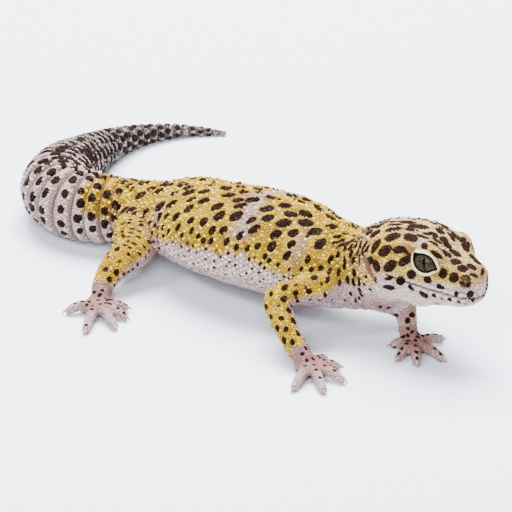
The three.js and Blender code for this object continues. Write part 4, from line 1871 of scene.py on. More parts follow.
@dataclass
class NodeSketch:
    """Builds one shader or geometry tree."""

    tree: bpy.types.NodeTree

    def node(
        self, kind: str, settings: dict[str, object] | None = None, **sockets: object
    ) -> bpy.types.Node:
        """Makes a node.

        Args:
            kind: the node's type.
            settings: its own properties, set first.
            sockets: values or links of its inputs, by name with _ for a space, or s0 and so on by number.

        Returns:
            The node.
        """
        made = self.tree.nodes.new(kind)
        for name, value in (settings or {}).items():
            setattr(made, name, value)
        self.fill(made, **sockets)
        return made

    def fill(self, made: bpy.types.Node, **sockets: object) -> None:
        """Sets or links a node's inputs.

        Args:
            made: the node.
            sockets: values or links of its inputs, named as for a new node.
        """
        for name, value in sockets.items():
            by_number = name[0] == "s" and name[1:].isdigit()
            socket = made.inputs[int(name[1:])] if by_number else made.inputs[name.replace("_", " ")]
            source = value.socket if isinstance(value, Value) else value
            if isinstance(source, bpy.types.NodeSocket):
                self.tree.links.new(source, socket)
            else:
                socket.default_value = source

    def scaled(self, vector: bpy.types.NodeSocket, amount: object) -> bpy.types.NodeSocket:
        """A vector made longer by an amount."""
        return self.node("ShaderNodeVectorMath", {"operation": "SCALE"}, s0=vector, Scale=amount).outputs[0]

    def sum(self, operation: str, first: object, second: object = 0.0) -> Value:
        """A Math node on one or two numbers."""
        made = self.node("ShaderNodeMath", {"operation": operation}, s0=first, s1=second)
        return Value(self, made.outputs[0])

    def attribute(self, name: str) -> Value:
        """A number kept on the mesh."""
        return Value(self, self.node("ShaderNodeAttribute", {"attribute_name": name}).outputs["Fac"])

    def step(self, value: Value, low: float, high: float) -> Value:
        """A smooth step from 0 at low to 1 at high.

        Args:
            value: what is stepped.
            low: where the step starts.
            high: where it ends.

        Returns:
            The share.
        """
        settings = {"interpolation_type": "SMOOTHSTEP"}
        made = self.node("ShaderNodeMapRange", settings, s0=value, s1=low, s2=high, s3=0.0, s4=1.0)
        return Value(self, made.outputs[0])

    def noise(self, scale: float, detail: float = 2.0, where: object = None) -> Value:
        """Noise through the object's own space, its scale in swells for each metre.

        Args:
            scale: swells for each metre.
            detail: how many finer layers it has.
            where: the place to read, or None for the object's own.

        Returns:
            The noise, around a half.
        """
        where = where or self.node("ShaderNodeTexCoord").outputs["Object"]
        made = self.node("ShaderNodeTexNoise", Vector=where, Scale=scale, Detail=detail)
        return Value(self, made.outputs[0])

    def mix(self, share: object, low: object, high: object, blend: str = "MIX") -> bpy.types.NodeSocket:
        """A colour between two others."""
        settings = {"data_type": "RGBA", "blend_type": blend}
        return self.node("ShaderNodeMix", settings, s0=share, s6=low, s7=high).outputs[2]

    def bumps(self, height: Value, strength: float, depth: float) -> bpy.types.NodeSocket:
        """A normal that follows a height, its depth in metres."""
        return self.node("ShaderNodeBump", Strength=strength, Distance=depth, Height=height).outputs[0]


@dataclass
class Paint(NodeSketch):
    """One material's tree, with the shader that it ends in."""

    material: bpy.types.Material
    shader: bpy.types.Node

    @staticmethod
    def named(name: str) -> "Paint":
        """A new material.

        Args:
            name: the material's name.

        Returns:
            The paint, with its shader wired to the output.
        """
        made = bpy.data.materials.new(name)
        made.use_nodes = True
        return Paint(made.node_tree, made, made.node_tree.nodes["Principled BSDF"])

    def finished(self, **sockets: object) -> bpy.types.Material:
        """Sets or links the shader's inputs, and hands over the material."""
        self.fill(self.shader, **sockets)
        return self.material


def colour(red: float, green: float, blue: float) -> tuple[float, float, float, float]:
    """A colour from its screen values, 0 to 255, as the linear one that nodes take.

    Args:
        red: how much red.
        green: how much green.
        blue: how much blue.

    Returns:
        The linear colour, with a solid alpha.
    """
    shares = [v / 255 for v in (red, green, blue)]
    linear = [((v + 0.055) / 1.055) ** 2.4 if v > 10 / 255 else v / 12.92 for v in shares]
    return (linear[0], linear[1], linear[2], 1.0)


class Grain(Enum):
    """How the surface between the scales is broken up."""

    SKIN = "skin"
    SCALE = "scale"


@dataclass(frozen=True)
class HideFinish:
    """The spotted hide, shared by the skin and its scales, mixed from the tints kept on the mesh, with
    painted shade between and at the feet of the scales and in the mouth's slit, and painted highlights on
    the scales' tops.
    """

    pale: tuple[float, ...] = colour(180, 160, 158)
    gold: tuple[float, ...] = colour(144, 116, 27)
    straw: tuple[float, ...] = colour(180, 150, 34)
    cream: tuple[float, ...] = colour(255, 224, 84)
    white: tuple[float, ...] = colour(255, 243, 234)
    lilac: tuple[float, ...] = colour(150, 127, 133)
    grey: tuple[float, ...] = colour(90, 81, 84)
    rose: tuple[float, ...] = colour(142, 104, 100)
    black: tuple[float, ...] = colour(19, 9, 4)
    brown: tuple[float, ...] = colour(64, 34, 10)
    soot: tuple[float, ...] = colour(26, 18, 18)
    umber: tuple[float, ...] = colour(72, 44, 30)
    # painted shade for the bare skin between the scales and for each scale's foot
    painted_gap_shade: tuple[float, ...] = colour(178, 154, 144)
    roughness: float = 0.52

    def material(self, name: str, grain: Grain) -> bpy.types.Material:
        """Makes the material.

        Args:
            name: its name.
            grain: whether it lies on the bare skin or on the scales.

        Returns:
            The material.
        """
        sketch = Paint.named(name)
        coarse, fine = sketch.noise(260, 3), sketch.noise(1500, 2)
        warm = sketch.step(coarse + (fine - 0.5) * 0.5, 0.36, 0.68)
        yellow = sketch.mix(warm, self.gold, self.straw)
        face = sketch.mix(sketch.attribute("gold"), self.pale, yellow)
        for tint, shade in (("lilac", self.lilac), ("grey", self.grey), ("rose", self.rose)):
            face = sketch.mix(sketch.attribute(tint), face, shade)
        if grain is Grain.SKIN:
            # painted shade: the bare skin, which lies between the scales, is darkened all over
            face = sketch.mix(0.75, face, self.painted_gap_shade, "MULTIPLY")
        else:
            # each scale is lightened towards its top by the light attribute: partly its own paler tone,
            # partly painted highlight
            pale_tone_and_highlight = sketch.mix(sketch.attribute("gold"), self.white, self.cream)
            foot = sketch.attribute("foot")
            face = sketch.mix(sketch.attribute("light") * (1 - foot * 0.8) * 0.9, face, pale_tone_and_highlight)
            # darker umber: partly each scale's own darker tone, partly painted shade beside the tail's
            # grooves
            face = sketch.mix(sketch.attribute("dusk") * 0.4, face, self.umber)
            # painted shade, deepening towards each scale's foot where it meets the skin
            face = sketch.mix(foot * 0.8, face, self.painted_gap_shade, "MULTIPLY")
        ink = sketch.attribute("ink") + (fine - 0.5) * 0.16
        rim = sketch.step(ink, -0.28, 0.1) * sketch.attribute("gold") * 0.4
        face = sketch.mix(rim, face, self.brown)
        spot = sketch.mix(sketch.step(fine, 0.45, 0.75) * 0.22, self.black, self.brown)
        spot = sketch.mix(sketch.attribute("grey") * 0.5, spot, self.soot)
        if grain is Grain.SCALE:
            # inside the spots each scale's top is lifted towards rose: partly its own tone, partly painted
            # highlight
            spot = sketch.mix(sketch.attribute("light") * (1 - foot) * 0.18, spot, self.rose)
        face = sketch.mix(sketch.step(ink, -0.07, 0.09), face, spot)
        if grain is Grain.SKIN:
            # painted shade: the mouth's slit drawn as a black line along the lips
            slit = 1 - sketch.step(sketch.attribute("lip"), 0.1, 0.26)
            face = sketch.mix(slit * 0.85, face, self.black)
        height, strength = fine, 0.25
        if grain is Grain.SKIN:
            where = sketch.node("ShaderNodeTexCoord").outputs["Object"]
            edges = {"feature": "DISTANCE_TO_EDGE"}
            cells = sketch.node("ShaderNodeTexVoronoi", edges, Vector=where, Scale=2100.0)
            height = sketch.step(Value(sketch, cells.outputs["Distance"]), 0.0, 0.3) + fine * 0.3
            strength = 0.5
        return sketch.finished(
            Base_Color=face, Roughness=(coarse - 0.5) * 0.2 + self.roughness, Specular_IOR_Level=0.03,
            Normal=sketch.bumps(height, strength, 0.00012),
        )


@dataclass(frozen=True)
class EyeFinish:
    """A marbled iris with a wavy upright slit, under a clear wet coat, with painted shade in black along
    the lids' edge.
    """

    dark: tuple[float, ...] = colour(13, 11, 9)
    light: tuple[float, ...] = colour(68, 60, 45)
    black: tuple[float, ...] = colour(4, 3, 3)
    slit: float = 0.33
    slit_long: float = 1.75
    iris: float = 3.0

    def material(self) -> bpy.types.Material:
        """Makes the material, which reads the millimetres across the eye's face from the mesh.

        Returns:
            The material.
        """
        sketch = Paint.named("eye_finish")
        across, up = sketch.attribute("gaze_across"), sketch.attribute("gaze_up")
        far = sketch.sum("SQRT", across * across + up * up)
        turn = sketch.sum("ARCTAN2", up, across)
        rays = sketch.node("ShaderNodeCombineXYZ", s0=far * 1.3, s1=turn * 1.9, s2=0.0).outputs[0]
        veins = sketch.noise(2.6, 4, rays)
        speck = sketch.noise(5200, 2)
        tone = sketch.step(veins + (speck - 0.5) * 0.9, 0.36, 0.72)
        face = sketch.mix(tone, self.dark, self.light)
        # black beyond the iris: partly the eye's own dark rim, partly painted shade from the lids
        face = sketch.mix(sketch.step(far, self.iris - 0.6, self.iris + 0.5), face, self.black)
        # painted shade: black on the eyeball along the lids' edge
        face = sketch.mix(sketch.step(sketch.attribute("margin"), 0.5, 0.16), face, self.black)
        part = up / self.slit_long
        open_ = sketch.sum("SQRT", sketch.sum("MAXIMUM", 1 - part * part, 0.0))
        wave = sketch.sum("SINE", up * 7.5) * 0.28 + 1
        inside = open_ * wave * self.slit - sketch.sum("ABSOLUTE", across)
        face = sketch.mix(sketch.step(inside, -0.05, 0.05), face, self.black)
        return sketch.finished(
            Base_Color=face, Roughness=0.3, Specular_IOR_Level=0.0, Coat_Weight=0.13, Coat_Roughness=0.03
        )


@dataclass(frozen=True)
class LidFinish:
    """The eyelid's cream rim, with painted shade in black where it meets the eyeball."""

    cream: tuple[float, ...] = colour(226, 206, 158)
    straw: tuple[float, ...] = colour(205, 184, 128)
    black: tuple[float, ...] = colour(12, 8, 7)

    def material(self) -> bpy.types.Material:
        """Makes the material, which reads how far in the rim lies from the mesh.

        Returns:
            The material.
        """
        sketch = Paint.named("lid_finish")
        fine = sketch.noise(2300, 2)
        inner = sketch.attribute("inner") + (fine - 0.5) * 0.08
        face = sketch.mix(sketch.step(fine, 0.35, 0.7), self.cream, self.straw)
        # painted shade: the rim's inner side, next to the eyeball, is black
        face = sketch.mix(sketch.step(inner, 0.72, 0.82), face, self.black)
        return sketch.finished(
            Base_Color=face, Roughness=0.42, Specular_IOR_Level=0.1, Normal=sketch.bumps(fine, 0.3, 0.00008)
        )


@dataclass(frozen=True)
class ClawFinish:
    """Pale horn that darkens to the claw's tip."""

    base: tuple[float, ...] = colour(172, 150, 132)
    tip: tuple[float, ...] = colour(92, 76, 62)

    def material(self) -> bpy.types.Material:
        """Makes the material, which reads the way to the tip from the mesh.

        Returns:
            The material.
        """
        sketch = Paint.named("claw_finish")
        fine = sketch.noise(1800, 2)
        dark = sketch.step(sketch.attribute("tip") + (fine - 0.5) * 0.2, 0.3, 1.0)
        face = sketch.mix(dark, self.base, self.tip)
        return sketch.finished(Base_Color=face, Roughness=0.3, Normal=sketch.bumps(fine, 0.2, 0.00005))


# ---------------------------------------------------------------- scales


FOOT_SUNK = 0.15  # how far a scale's foot is sunk into the skin, as a share of its height


@dataclass
class GrowthTree:
    """A geometry tree with named inputs and one result."""

    name: str
    inputs: dict[str, str]  # each input's name and the kind of its socket
    result: str
    tree: bpy.types.NodeTree = field(init=False)
    sketch: NodeSketch = field(init=False)
    given: bpy.types.Node = field(init=False)

    def __post_init__(self) -> None:
        """Opens the tree."""
        self.tree = bpy.data.node_groups.new(self.name, "GeometryNodeTree")
        for name, kind in self.inputs.items():
            self.tree.interface.new_socket(name, in_out="INPUT", socket_type=f"NodeSocket{kind}")
        self.tree.interface.new_socket(self.result, in_out="OUTPUT", socket_type="NodeSocketGeometry")
        self.sketch = NodeSketch(self.tree)
        self.given = self.sketch.node("NodeGroupInput")

    def close(self, result: bpy.types.Node) -> None:
        """Ends the tree in a node's first output."""
        self.sketch.node("NodeGroupOutput", s0=result.outputs[0])

    def grow(self, made: bpy.types.Object, **values: object) -> bpy.types.Object:
        """Runs the tree on an object and keeps the plain result.

        Args:
            made: what the tree's first input takes.
            values: the other inputs by name, with _ for a space.

        Returns:
            The same object with its new mesh.
        """
        step = made.modifiers.new(self.name, "NODES")
        step.node_group = self.tree
        items = self.tree.interface.items_tree
        sockets = {item.name: item.identifier for item in items if item.in_out == "INPUT"}
        for name, value in values.items():
            step[sockets[name.replace("_", " ")]] = value
        return applied(made)


@dataclass
class ScaleTree:
    """The geometry tree that sets one scale on every root, and keeps its patch of the unwrap."""

    patch: float = 0.0015

    def build(self, template: bpy.types.Object, material: bpy.types.Material) -> GrowthTree:
        """Makes the tree.

        Args:
            template: one scale, a millimetre across, with its face up.
            material: the scales' finish.

        Returns:
            The tree, which takes roots as points with a normal, a lie, a size and a place on the unwrap.
        """
        inputs = {"Roots": "Geometry", "Scale Size": "Float", "Patch": "Float"}
        growth = GrowthTree("scales_on_roots", inputs, "Scales")
        sketch, given = growth.sketch, growth.given.outputs

        def kept(name: str) -> bpy.types.NodeSocket:
            """A vector kept on the roots."""
            made = sketch.node("GeometryNodeInputNamedAttribute", {"data_type": "FLOAT_VECTOR"}, Name=name)
            return made.outputs[0]

        align = "FunctionNodeAlignRotationToVector"
        upright = sketch.node(align, {"axis": "Z"}, Vector=kept("root_normal"))
        settings = {"axis": "X", "pivot_axis": "Z"}
        lying = sketch.node(align, settings, Rotation=upright.outputs[0], Vector=kept("root_lie"))
        shape = sketch.node("GeometryNodeObjectInfo", {}, Object=template)
        placed = sketch.node(
            "GeometryNodeInstanceOnPoints", Points=given["Roots"], Instance=shape.outputs["Geometry"],
            Rotation=lying.outputs[0], Scale=sketch.scaled(kept("root_size"), given["Scale Size"]),
        )
        real = sketch.node("GeometryNodeRealizeInstances", Geometry=placed.outputs[0])
        stamp = sketch.scaled(kept("stamp"), given["Patch"])
        place = sketch.node("ShaderNodeVectorMath", {"operation": "ADD"}, s0=kept("root_unwrap"), s1=stamp)
        unwrapped = sketch.node(
            "GeometryNodeStoreNamedAttribute", {"data_type": "FLOAT2", "domain": "CORNER"},
            Geometry=real.outputs[0], Name="OFBake", Value=place.outputs[0],
        )
        solid = {"Geometry": unwrapped.outputs[0], "Material": material}
        growth.close(sketch.node("GeometryNodeSetMaterial", **solid))
        return growth


class ScaleShape(Enum):
    """The kinds of scale: points round, rings by reach and height, how square, and how uneven and light."""

    GRAIN = (6, ((1.0, 0.0), (0.78, 0.62)), 2.0, (0.45, 0.0))
    TUBERCLE = (8, ((1.0, 0.0), (0.82, 0.42), (0.45, 0.85)), 2.0, (0.4, 0.6))
    PLATE = (12, ((1.0, 0.0), (0.94, 0.7), (0.7, 0.96)), 4.0, (0.1, -0.1))

    def mesh(self) -> RawMesh:
        """One scale, a millimetre across and high, open below, with its foot a little sunk.

        Returns:
            The mesh, with its face up.
        """
        around, rings, power, _ = self.value
        angle = np.linspace(0, 2 * math.pi, around, endpoint=False) + 0.3
        swell = (np.abs(np.cos(angle)) ** power + np.abs(np.sin(angle)) ** power) ** (-1 / power)
        circle = np.stack([np.cos(angle) * swell, np.sin(angle) * swell, 0 * angle], 1)
        layers = [circle * 0.5 * reach + UP * (height - FOOT_SUNK) for reach, height in rings]
        points = np.vstack([*layers, UP * (1.0 - FOOT_SUNK)])
        faces = quads(len(rings), around)
        last = (len(rings) - 1) * around
        faces += [(last + j, last + (j + 1) % around, last + around) for j in range(around)]
        return RawMesh(points, faces)


@dataclass
class Roots:
    """Where scales grow: seats in bench millimetres, with sizes and places on the unwrap."""

    points: Array
    normals: Array
    lies: Array
    sizes: Array  # long, wide and high, in millimetres
    unwrap: Array

    @property
    def columns(self) -> tuple[Array, ...]:
        """All the values, one array each."""
        return self.points, self.normals, self.lies, self.sizes, self.unwrap

    def only(self, kept: Array) -> "Roots":
        """The roots of a mask."""
        return Roots(*(column[kept] for column in self.columns))

    def joined(self, other: "Roots") -> "Roots":
        """These roots and others."""
        return Roots(*(np.vstack(pair) for pair in zip(self.columns, other.columns)))


@dataclass
class Coat:
    """Grows the scales over the skin, one piece for each part of the animal."""

    ground: Ground
    markings: Markings
    material: bpy.types.Material
    templates: dict[ScaleShape, bpy.types.Object] = field(default_factory=dict)

    def template(self, shape: ScaleShape) -> bpy.types.Object:
        """The one scale of a kind, made when it is first asked for.

        Args:
            shape: the kind of scale.

        Returns:
            The object that all scales of the kind are copied from.
        """
        if shape not in self.templates:
            made = new_object(f"one_{shape.name.lower()}", shape.mesh())
            stamp = read_points(made.data) * (2, 2, 0)
            write_attribute(made.data, "stamp", stamp)
            height = read_points(made.data)[:, 2]
            # how near each point is to the scale's foot, which the finish uses for painted shade there
            foot = (height.max() - height) / np.ptp(height)
            write_attribute(made.data, "foot", np.clip(foot, 0, 1))
            smooth(made)
            made.hide_render = True
            self.templates[shape] = made
        return self.templates[shape]

    def grow(self, name: str, roots: Roots, shape: ScaleShape) -> bpy.types.Object:
        """Makes one piece of the coat.

        Args:
            name: the piece's name.
            roots: where its scales grow.
            shape: the kind of scale.

        Returns:
            The piece, as one plain mesh in metres.
        """
        made = new_object(name, RawMesh(to_metres(roots.points), []))
        places = self.ground.animal.survey(roots.points)
        random = np.random.default_rng(len(name) * 7 + len(roots.points))
        tints = self.markings.tints(places)
        kept = {
            "root_normal": roots.normals, "root_lie": roots.lies, "root_size": roots.sizes,
            "root_unwrap": np.pad(roots.unwrap, ((0, 0), (0, 1))),
        }
        pale = np.maximum(tints["gold"], 0.75 * ease(places.side, 74, 84) * places.on_body)
        calm = (0.45 + 0.55 * pale) * (1 - 0.4 * places.on_limb) * (1 - 0.7 * tints["grey"])
        spread, lift = shape.value[-1]
        shade = (random.normal(0, spread, len(roots.points)) + lift) * calm
        share, gap = self.markings.rings.across(places.along)
        whorl = self.markings.rings.presence(places.along) * places.on_body
        # painted highlight along each whorl's crest and painted shade beside its grooves
        shade += whorl * (0.45 * bump(share, 0.45, 0.22) - 0.6 * ease(gap, 0.2, 0.08))
        toes = places.on_foot * ease(places.toe_share, 0.3, 0.9)
        shade += 0.12 * places.on_limb * tints["gold"] + 0.35 * toes
        if shape is not ScaleShape.PLATE:
            halo = ease(-self.markings.ink(roots.points), 0.35, 1.1)
            shade = np.where(shade < 0, shade * (1 - 0.6 * places.on_head), shade)
            shade += places.on_head * (0.3 + 0.35 * halo) - 0.7 * pouch(roots.points)
        # the lighter and darker shares hold each scale's own tone with the painted highlight and shade of
        # the whorls
        tones_and_painted_light = {"light": np.clip(shade, 0, 1), "dusk": np.clip(-shade, 0, 1)}
        for key, values in (tints | tones_and_painted_light | kept).items():
            write_attribute(made.data, key, values)
        tree = ScaleTree()
        growth = tree.build(self.template(shape), self.material)
        growth.grow(made, Scale_Size=MM, Patch=tree.patch)
        write_attribute(made.data, "ink", self.markings.ink(to_bench(read_points(made.data))))
        for key in (*kept, "stamp"):
            made.data.attributes.remove(made.data.attributes[key])
        bpy.data.node_groups.remove(growth.tree)
        smooth(made)
        return made

    def clear(self) -> None:
        """Takes the template scales away."""
        for made in self.templates.values():
            discard(made)
        self.templates.clear()


@dataclass
class Scatter:
    """The geometry tree that spreads roots evenly over one zone of the skin."""

    skin: bpy.types.Object
    growth: GrowthTree = field(init=False)

    def __post_init__(self) -> None:
        """Builds the tree."""
        inputs = {"Skin": "Geometry", "Zone": "Float", "Spacing": "Float", "Seed": "Int"}
        self.growth = GrowthTree("roots_over_skin", inputs, "Roots")
        sketch, given = self.growth.sketch, self.growth.given.outputs
        zone = sketch.node("GeometryNodeInputNamedAttribute", {"data_type": "FLOAT"}, Name="zone")
        compare = {"operation": "COMPARE"}
        here = sketch.node("ShaderNodeMath", compare, s0=zone.outputs[0], s1=given["Zone"], s2=0.1)
        spacing = Value(sketch, given["Spacing"])
        spread = sketch.node(
            "GeometryNodeDistributePointsOnFaces", {"distribute_method": "POISSON"}, Mesh=given["Skin"],
            Selection=here.outputs[0], Distance_Min=spacing, Density_Max=7 / (spacing * spacing),
            Seed=given["Seed"],
        )
        self.growth.close(sketch.node("GeometryNodePointsToVertices", Points=spread.outputs["Points"]))

    def spread(self, zone: int, spacing: float) -> tuple[Array, Array]:
        """Spreads roots over a zone.

        Args:
            zone: the zone's number.
            spacing: the least distance between roots, in millimetres.

        Returns:
            The roots and the normals there.
        """
        made = bpy.data.objects.new("roots", self.skin.data.copy())
        bpy.context.scene.collection.objects.link(made)
        self.growth.grow(made, Zone=float(zone), Spacing=spacing, Seed=7 + zone)
        points = read_points(made.data)
        normals = read_rows(made.data.attributes["skin_normal"].data, "vector")
        discard(made)
        return points, unit(normals.astype(float))


@dataclass(frozen=True)
class Zone:
    """A part of the animal with its own piece of coat."""

    name: str
    number: int
    spacing: float
    high: float
    nodes: tuple[str, ...]
    slot: str


def gecko_zones() -> tuple[Zone, ...]:
    """Every part that gets a piece of coat.

    Returns:
        The zones, each at its own number.
    """
    zones = [
        Zone("head_right", 1, 0.43, 0.17, ("head", "lower_jaw"), "skin_head"),
        Zone("head_left", 2, 0.43, 0.17, ("head", "lower_jaw"), "skin_head"),
        Zone("neck", 3, 0.5, 0.17, ("neck",), "skin_back"),
        Zone("flank_right", 4, 0.5, 0.18, ("trunk", "hips"), "skin_back"),
        Zone("flank_left", 5, 0.5, 0.18, ("trunk", "hips"), "skin_back"),
        Zone("belly", 6, 0.72, 0.12, ("trunk", "hips"), "skin_underside"),
        Zone("tail_base", 7, 0.56, 0.17, ("tail_base",), "skin_tail"),
        Zone("tail_middle", 8, 0.56, 0.17, ("tail_middle",), "skin_tail"),
        Zone("tail_tip", 9, 0.5, 0.15, ("tail_tip",), "skin_tail"),
    ]
    for number, leg in enumerate(("front_right", "front_left", "hind_right", "hind_left")):
        nodes = (f"{leg}_upper", f"{leg}_lower")
        zones.append(Zone(f"{leg}_leg", 10 + number * 2, 0.48, 0.16, nodes, "skin_back"))
        zones.append(Zone(f"{leg}_foot", 11 + number * 2, 0.42, 0.13, (f"{leg}_foot",), "skin_foot"))
    return tuple(zones)


@dataclass
class Scales:
    """Plans where every scale, tubercle and lip plate sits."""

    animal: Animal
    ground: Ground
    lids: tuple[LidLine, LidLine]
    rings: TailRings
    head_relief: HeadRelief
    lip_room: float = 0.3
    lid_room: float = 0.75
    groove_room: float = 0.05  # as a share of a whorl
    floor_room: float = 0.25
    random: np.random.Generator = field(default_factory=lambda: np.random.default_rng(12))

    def zone_of(self, places: Places) -> Array:
        """The number of the zone that each point lies in.

        Args:
            places: the points.

        Returns:
            Whole numbers, one for each place.
        """
        along, side = places.along, places.side
        trunk = along < 84
        left = places.turn > 0
        tests = [along < 20, trunk & (side > 104), trunk & left, trunk, along < 112, along < 146]
        body = np.select(tests, [3, 6, 4, 5, 7, 8], 9)
        leg = 10 + places.limb * 2 + (places.on_foot > 0.5)
        head = np.where(places.local[:, 1] < 0, 1, 2)
        return np.where(places.on_limb > 0.5, leg, np.where(places.on_head > 0.5, head, body))

    def clear(self, places: Places) -> Array:
        """Where small scales may grow: away from eyes, mouth, nostrils, ears and what touches the floor.

        Args:
            places: the points.

        Returns:
            A mask of the places.
        """
        local, off_head = places.local, places.on_head < 0.5
        bare = (self.head_relief.ear(places) < 1) | (self.head_relief.nostril(places) < 1.1)
        gape = np.abs(self.head_relief.lip_gap(local))
        kept = (off_head | ~bare) & (off_head | (local[:, 0] < 6) | (gape > self.lip_room))
        _, gap = self.rings.across(places.along)
        kept &= (places.on_body < 0.5) | (places.along < 86) | (gap > self.groove_room)
        for lid in self.lids:
            far = np.linalg.norm(local - lid.middle, axis=1)
            near = np.flatnonzero((far < 8) & (places.on_head > 0.5))
            if len(near):
                kept[near] &= lid.inside(local[near]) < -self.lid_room
        return kept & (places.points[:, 2] > self.floor_room)

    def lies(self, places: Places) -> Array:
        """The way ahead along the animal at each place.

        Args:
            places: the points.

        Returns:
            One way for each place.
        """
        way = -self.animal.trunk.run.tangent_at(places.along)
        way = np.where(places.on_head[:, None] > 0.5, self.animal.head.turned[:, 0], way)
        for number, leg in enumerate(self.animal.limbs):
            on = (places.limb == number) & (places.on_limb > 0.5)
            way[on] = -leg.run.tangent_at(places.limb_along[on])
        return way

    def unwrap(self, places: Places) -> Array:
        """Places on a flat unwrap of the animal's own shape, from 0.02 to 0.98.

        Args:
            places: the points.

        Returns:
            A pair of numbers for each place.
        """
        flat = np.stack([places.along, places.turn], 1)
        head = np.stack([places.local[:, 0], places.cheek * np.sign(places.local[:, 1])], 1)
        leg = np.stack([places.limb_along, places.limb_turn], 1)
        charts = ((places.on_head, head), (places.on_limb, leg), (places.on_foot, places.points[:, :2]))
        for share, chart in charts:
            flat = np.where(share[:, None] > 0.5, chart, flat)
        low, high = flat.min(0), flat.max(0)
        return 0.02 + 0.96 * (flat - low) / np.maximum(high - low, 1e-6)

    def seated(self, seats: Sequence[Seat], sizes: Sequence[Sequence[float]]) -> Roots:
        """Roots from seats and sizes.

        Args:
            seats: where the scales sit.
            sizes: their length, width and height.

        Returns:
            The roots, with their places on the unwrap.
        """
        points = np.array([seat.at for seat in seats])
        normals, lies = np.array([seat.normal for seat in seats]), np.array([seat.ahead for seat in seats])
        unwrap = self.unwrap(self.animal.survey(points))
        return Roots(points, normals, lies, np.array(sizes, float), unwrap)

    def small(self, zone: Zone, points: Array, normals: Array, taken: Roots) -> Roots:
        """The small scales of one zone.

        Args:
            zone: the part of the animal.
            points: roots spread over it.
            normals: the normals there.
            taken: tubercles and plates, which keep their ground.

        Returns:
            The roots that are left, with their sizes.
        """
        places = self.animal.survey(points)
        kept = self.clear(places)
        for start in range(0, len(points), 2000):
            some = slice(start, start + 2000)
            away = points[some, None] - taken.points[None]
            reach = taken.sizes[None, :, 0] * 0.5
            kept[some] &= (np.linalg.norm(away, axis=2) > reach * 0.92 + zone.spacing * 0.2).all(1)
        count = len(points)
        broad = zone.spacing * 1.22 * (1 + self.random.normal(0, 0.07, count))
        high = zone.high * (1 + 0.15 * self.random.normal(0, 1, count)) * (1 - 0.3 * places.on_foot)
        sizes = np.stack([broad * 1.05, broad, high * (1 - 0.6 * pouch(points))], 1)
        return Roots(points, normals, self.lies(places), sizes, self.unwrap(places)).only(kept)

    def near(self, amount: float) -> float:
        """A seeded amount about nought."""
        return float(self.random.uniform(-amount, amount))

    def tubercles(self) -> Roots:
        """The large cone-like scales of the back, flanks, tail, legs and the rear of the head.

        Returns:
            Their roots.
        """
        seats: list[Seat] = []
        sizes: list[tuple[float, float, float]] = []

        def put(seat: Seat | None, broad: float, high: float) -> None:
            """Keeps a tubercle where there is skin and nothing in its way.

            Args:
                seat: where, or None where there is no skin.
                broad: its width.
                high: its height.
            """
            if seat is None:
                return
            places = self.animal.survey(seat.at[None])
            if self.clear(places)[0]:
                seats.append(seat)
                size = broad * (1 + self.near(0.14))
                sizes.append((size * 1.12, size, high * (1 + self.near(0.15))))

        # the back and flanks
        for along, turn in bricks(np.arange(4, 84, 1.45), -112, 113, 9.6):
            low = float(ease(abs(turn), 96, 112))
            if self.random.random() < 0.06 + 0.7 * low or (24 < along < 67 and 77 < abs(turn) < 104):
                continue
            seat = self.ground.on_body(along + self.near(0.25), turn + self.near(1.6))
            neck = float(ease(along, 20, 8))
            put(seat, 0.98 - 0.2 * neck - 0.15 * low, (0.58 - 0.2 * neck) * (1 - 0.5 * low))
        # close low ones down the middle of each flank
        for along, turn in bricks(np.arange(25, 66, 1.12), -103, 104, 5.2):
            if abs(turn) < 78 or self.random.random() < 0.04:
                continue
            put(self.ground.on_body(along + self.near(0.12), turn + self.near(0.8)), 0.98, 0.36)
        # one row to a whorl of the tail
        for whorl in range(WHORLS):
            along = self.rings.place(whorl + 0.3)
            if along > 180:
                break
            pace = math.degrees(2.1 / self.rings.girth(along))
            for turn in np.arange(-125 + (whorl % 2) * pace / 2, 126, pace):
                if self.random.random() < 0.06 + 0.4 * float(ease(abs(turn), 85, 125)):
                    continue
                seat = self.ground.on_body(along + self.near(0.2), turn + self.near(2))
                small = 0.55 + 0.45 * float(ease(along, 178, 120))
                put(seat, small, 0.6 * small * (1 - 0.5 * float(ease(abs(turn), 60, 120))))
        # the legs
        for leg in self.animal.limbs:
            columns = np.arange(leg.station(1.6), leg.station(leg.wrist) - 0.5, 1.7)
            for along, turn in bricks(columns, -110, 111, 30.0):
                if self.random.random() < 0.12:
                    continue
                put(self.ground.on_limb(leg, along + self.near(0.3), turn + self.near(5)), 0.74, 0.28)
        # the temples and cheeks, and fewer on the crown
        for _, sign in SIDES:
            for x, cheek in bricks(np.arange(-6, 20.5, 1.5), 8, 120, 15.0):
                crown = float(ease(x, 5, 12))
                smooth_face = (x > 3 and cheek > 96) or (x > 11 and cheek > 45)
                if self.random.random() < 0.12 + 0.5 * crown or smooth_face:
                    continue
                seat = self.ground.on_head(x + self.near(0.45), cheek + self.near(3), sign)
                put(seat, 0.74 - 0.12 * crown, 0.52 if cheek < 60 else 0.28)
        return self.seated(seats, sizes)

    def lips(self) -> Roots:
        """Plates in rows along both lips, with one at the front of each.

        Returns:
            Their roots.
        """
        seats: list[Seat] = []
        sizes: list[tuple[float, float, float]] = []
        head = self.animal.head
        for _, sign in SIDES:
            for way_up, stretch in ((1, 1), (-1, 1.05)):
                x = 26.2
                while x > 7.5:
                    long = float(np.interp(x, [8, 14, 20, 26], [0.95, 1.35, 1.7, 1.75])) * stretch
                    middle = x - long / 2
                    wide = float(np.interp(middle, [8, 14, 20, 26], [0.75, 1.0, 1.2, 1.25]))
                    height = float(self.head_relief.mouth(np.array(middle))) + (0.3 + wide / 2) * way_up
                    start = head.out(np.array([middle, 0.0, height]))
                    seat = self.ground.cast(start, head.turned[:, 1] * sign, head.turned[:, 0], sign)
                    if seat is not None:
                        seats.append(seat)
                        sizes.append((long * 0.98, wide, 0.12))
                    x -= long
        return self.seated(seats, sizes)


# ---------------------------------------------------------------- eyes, lids and claws


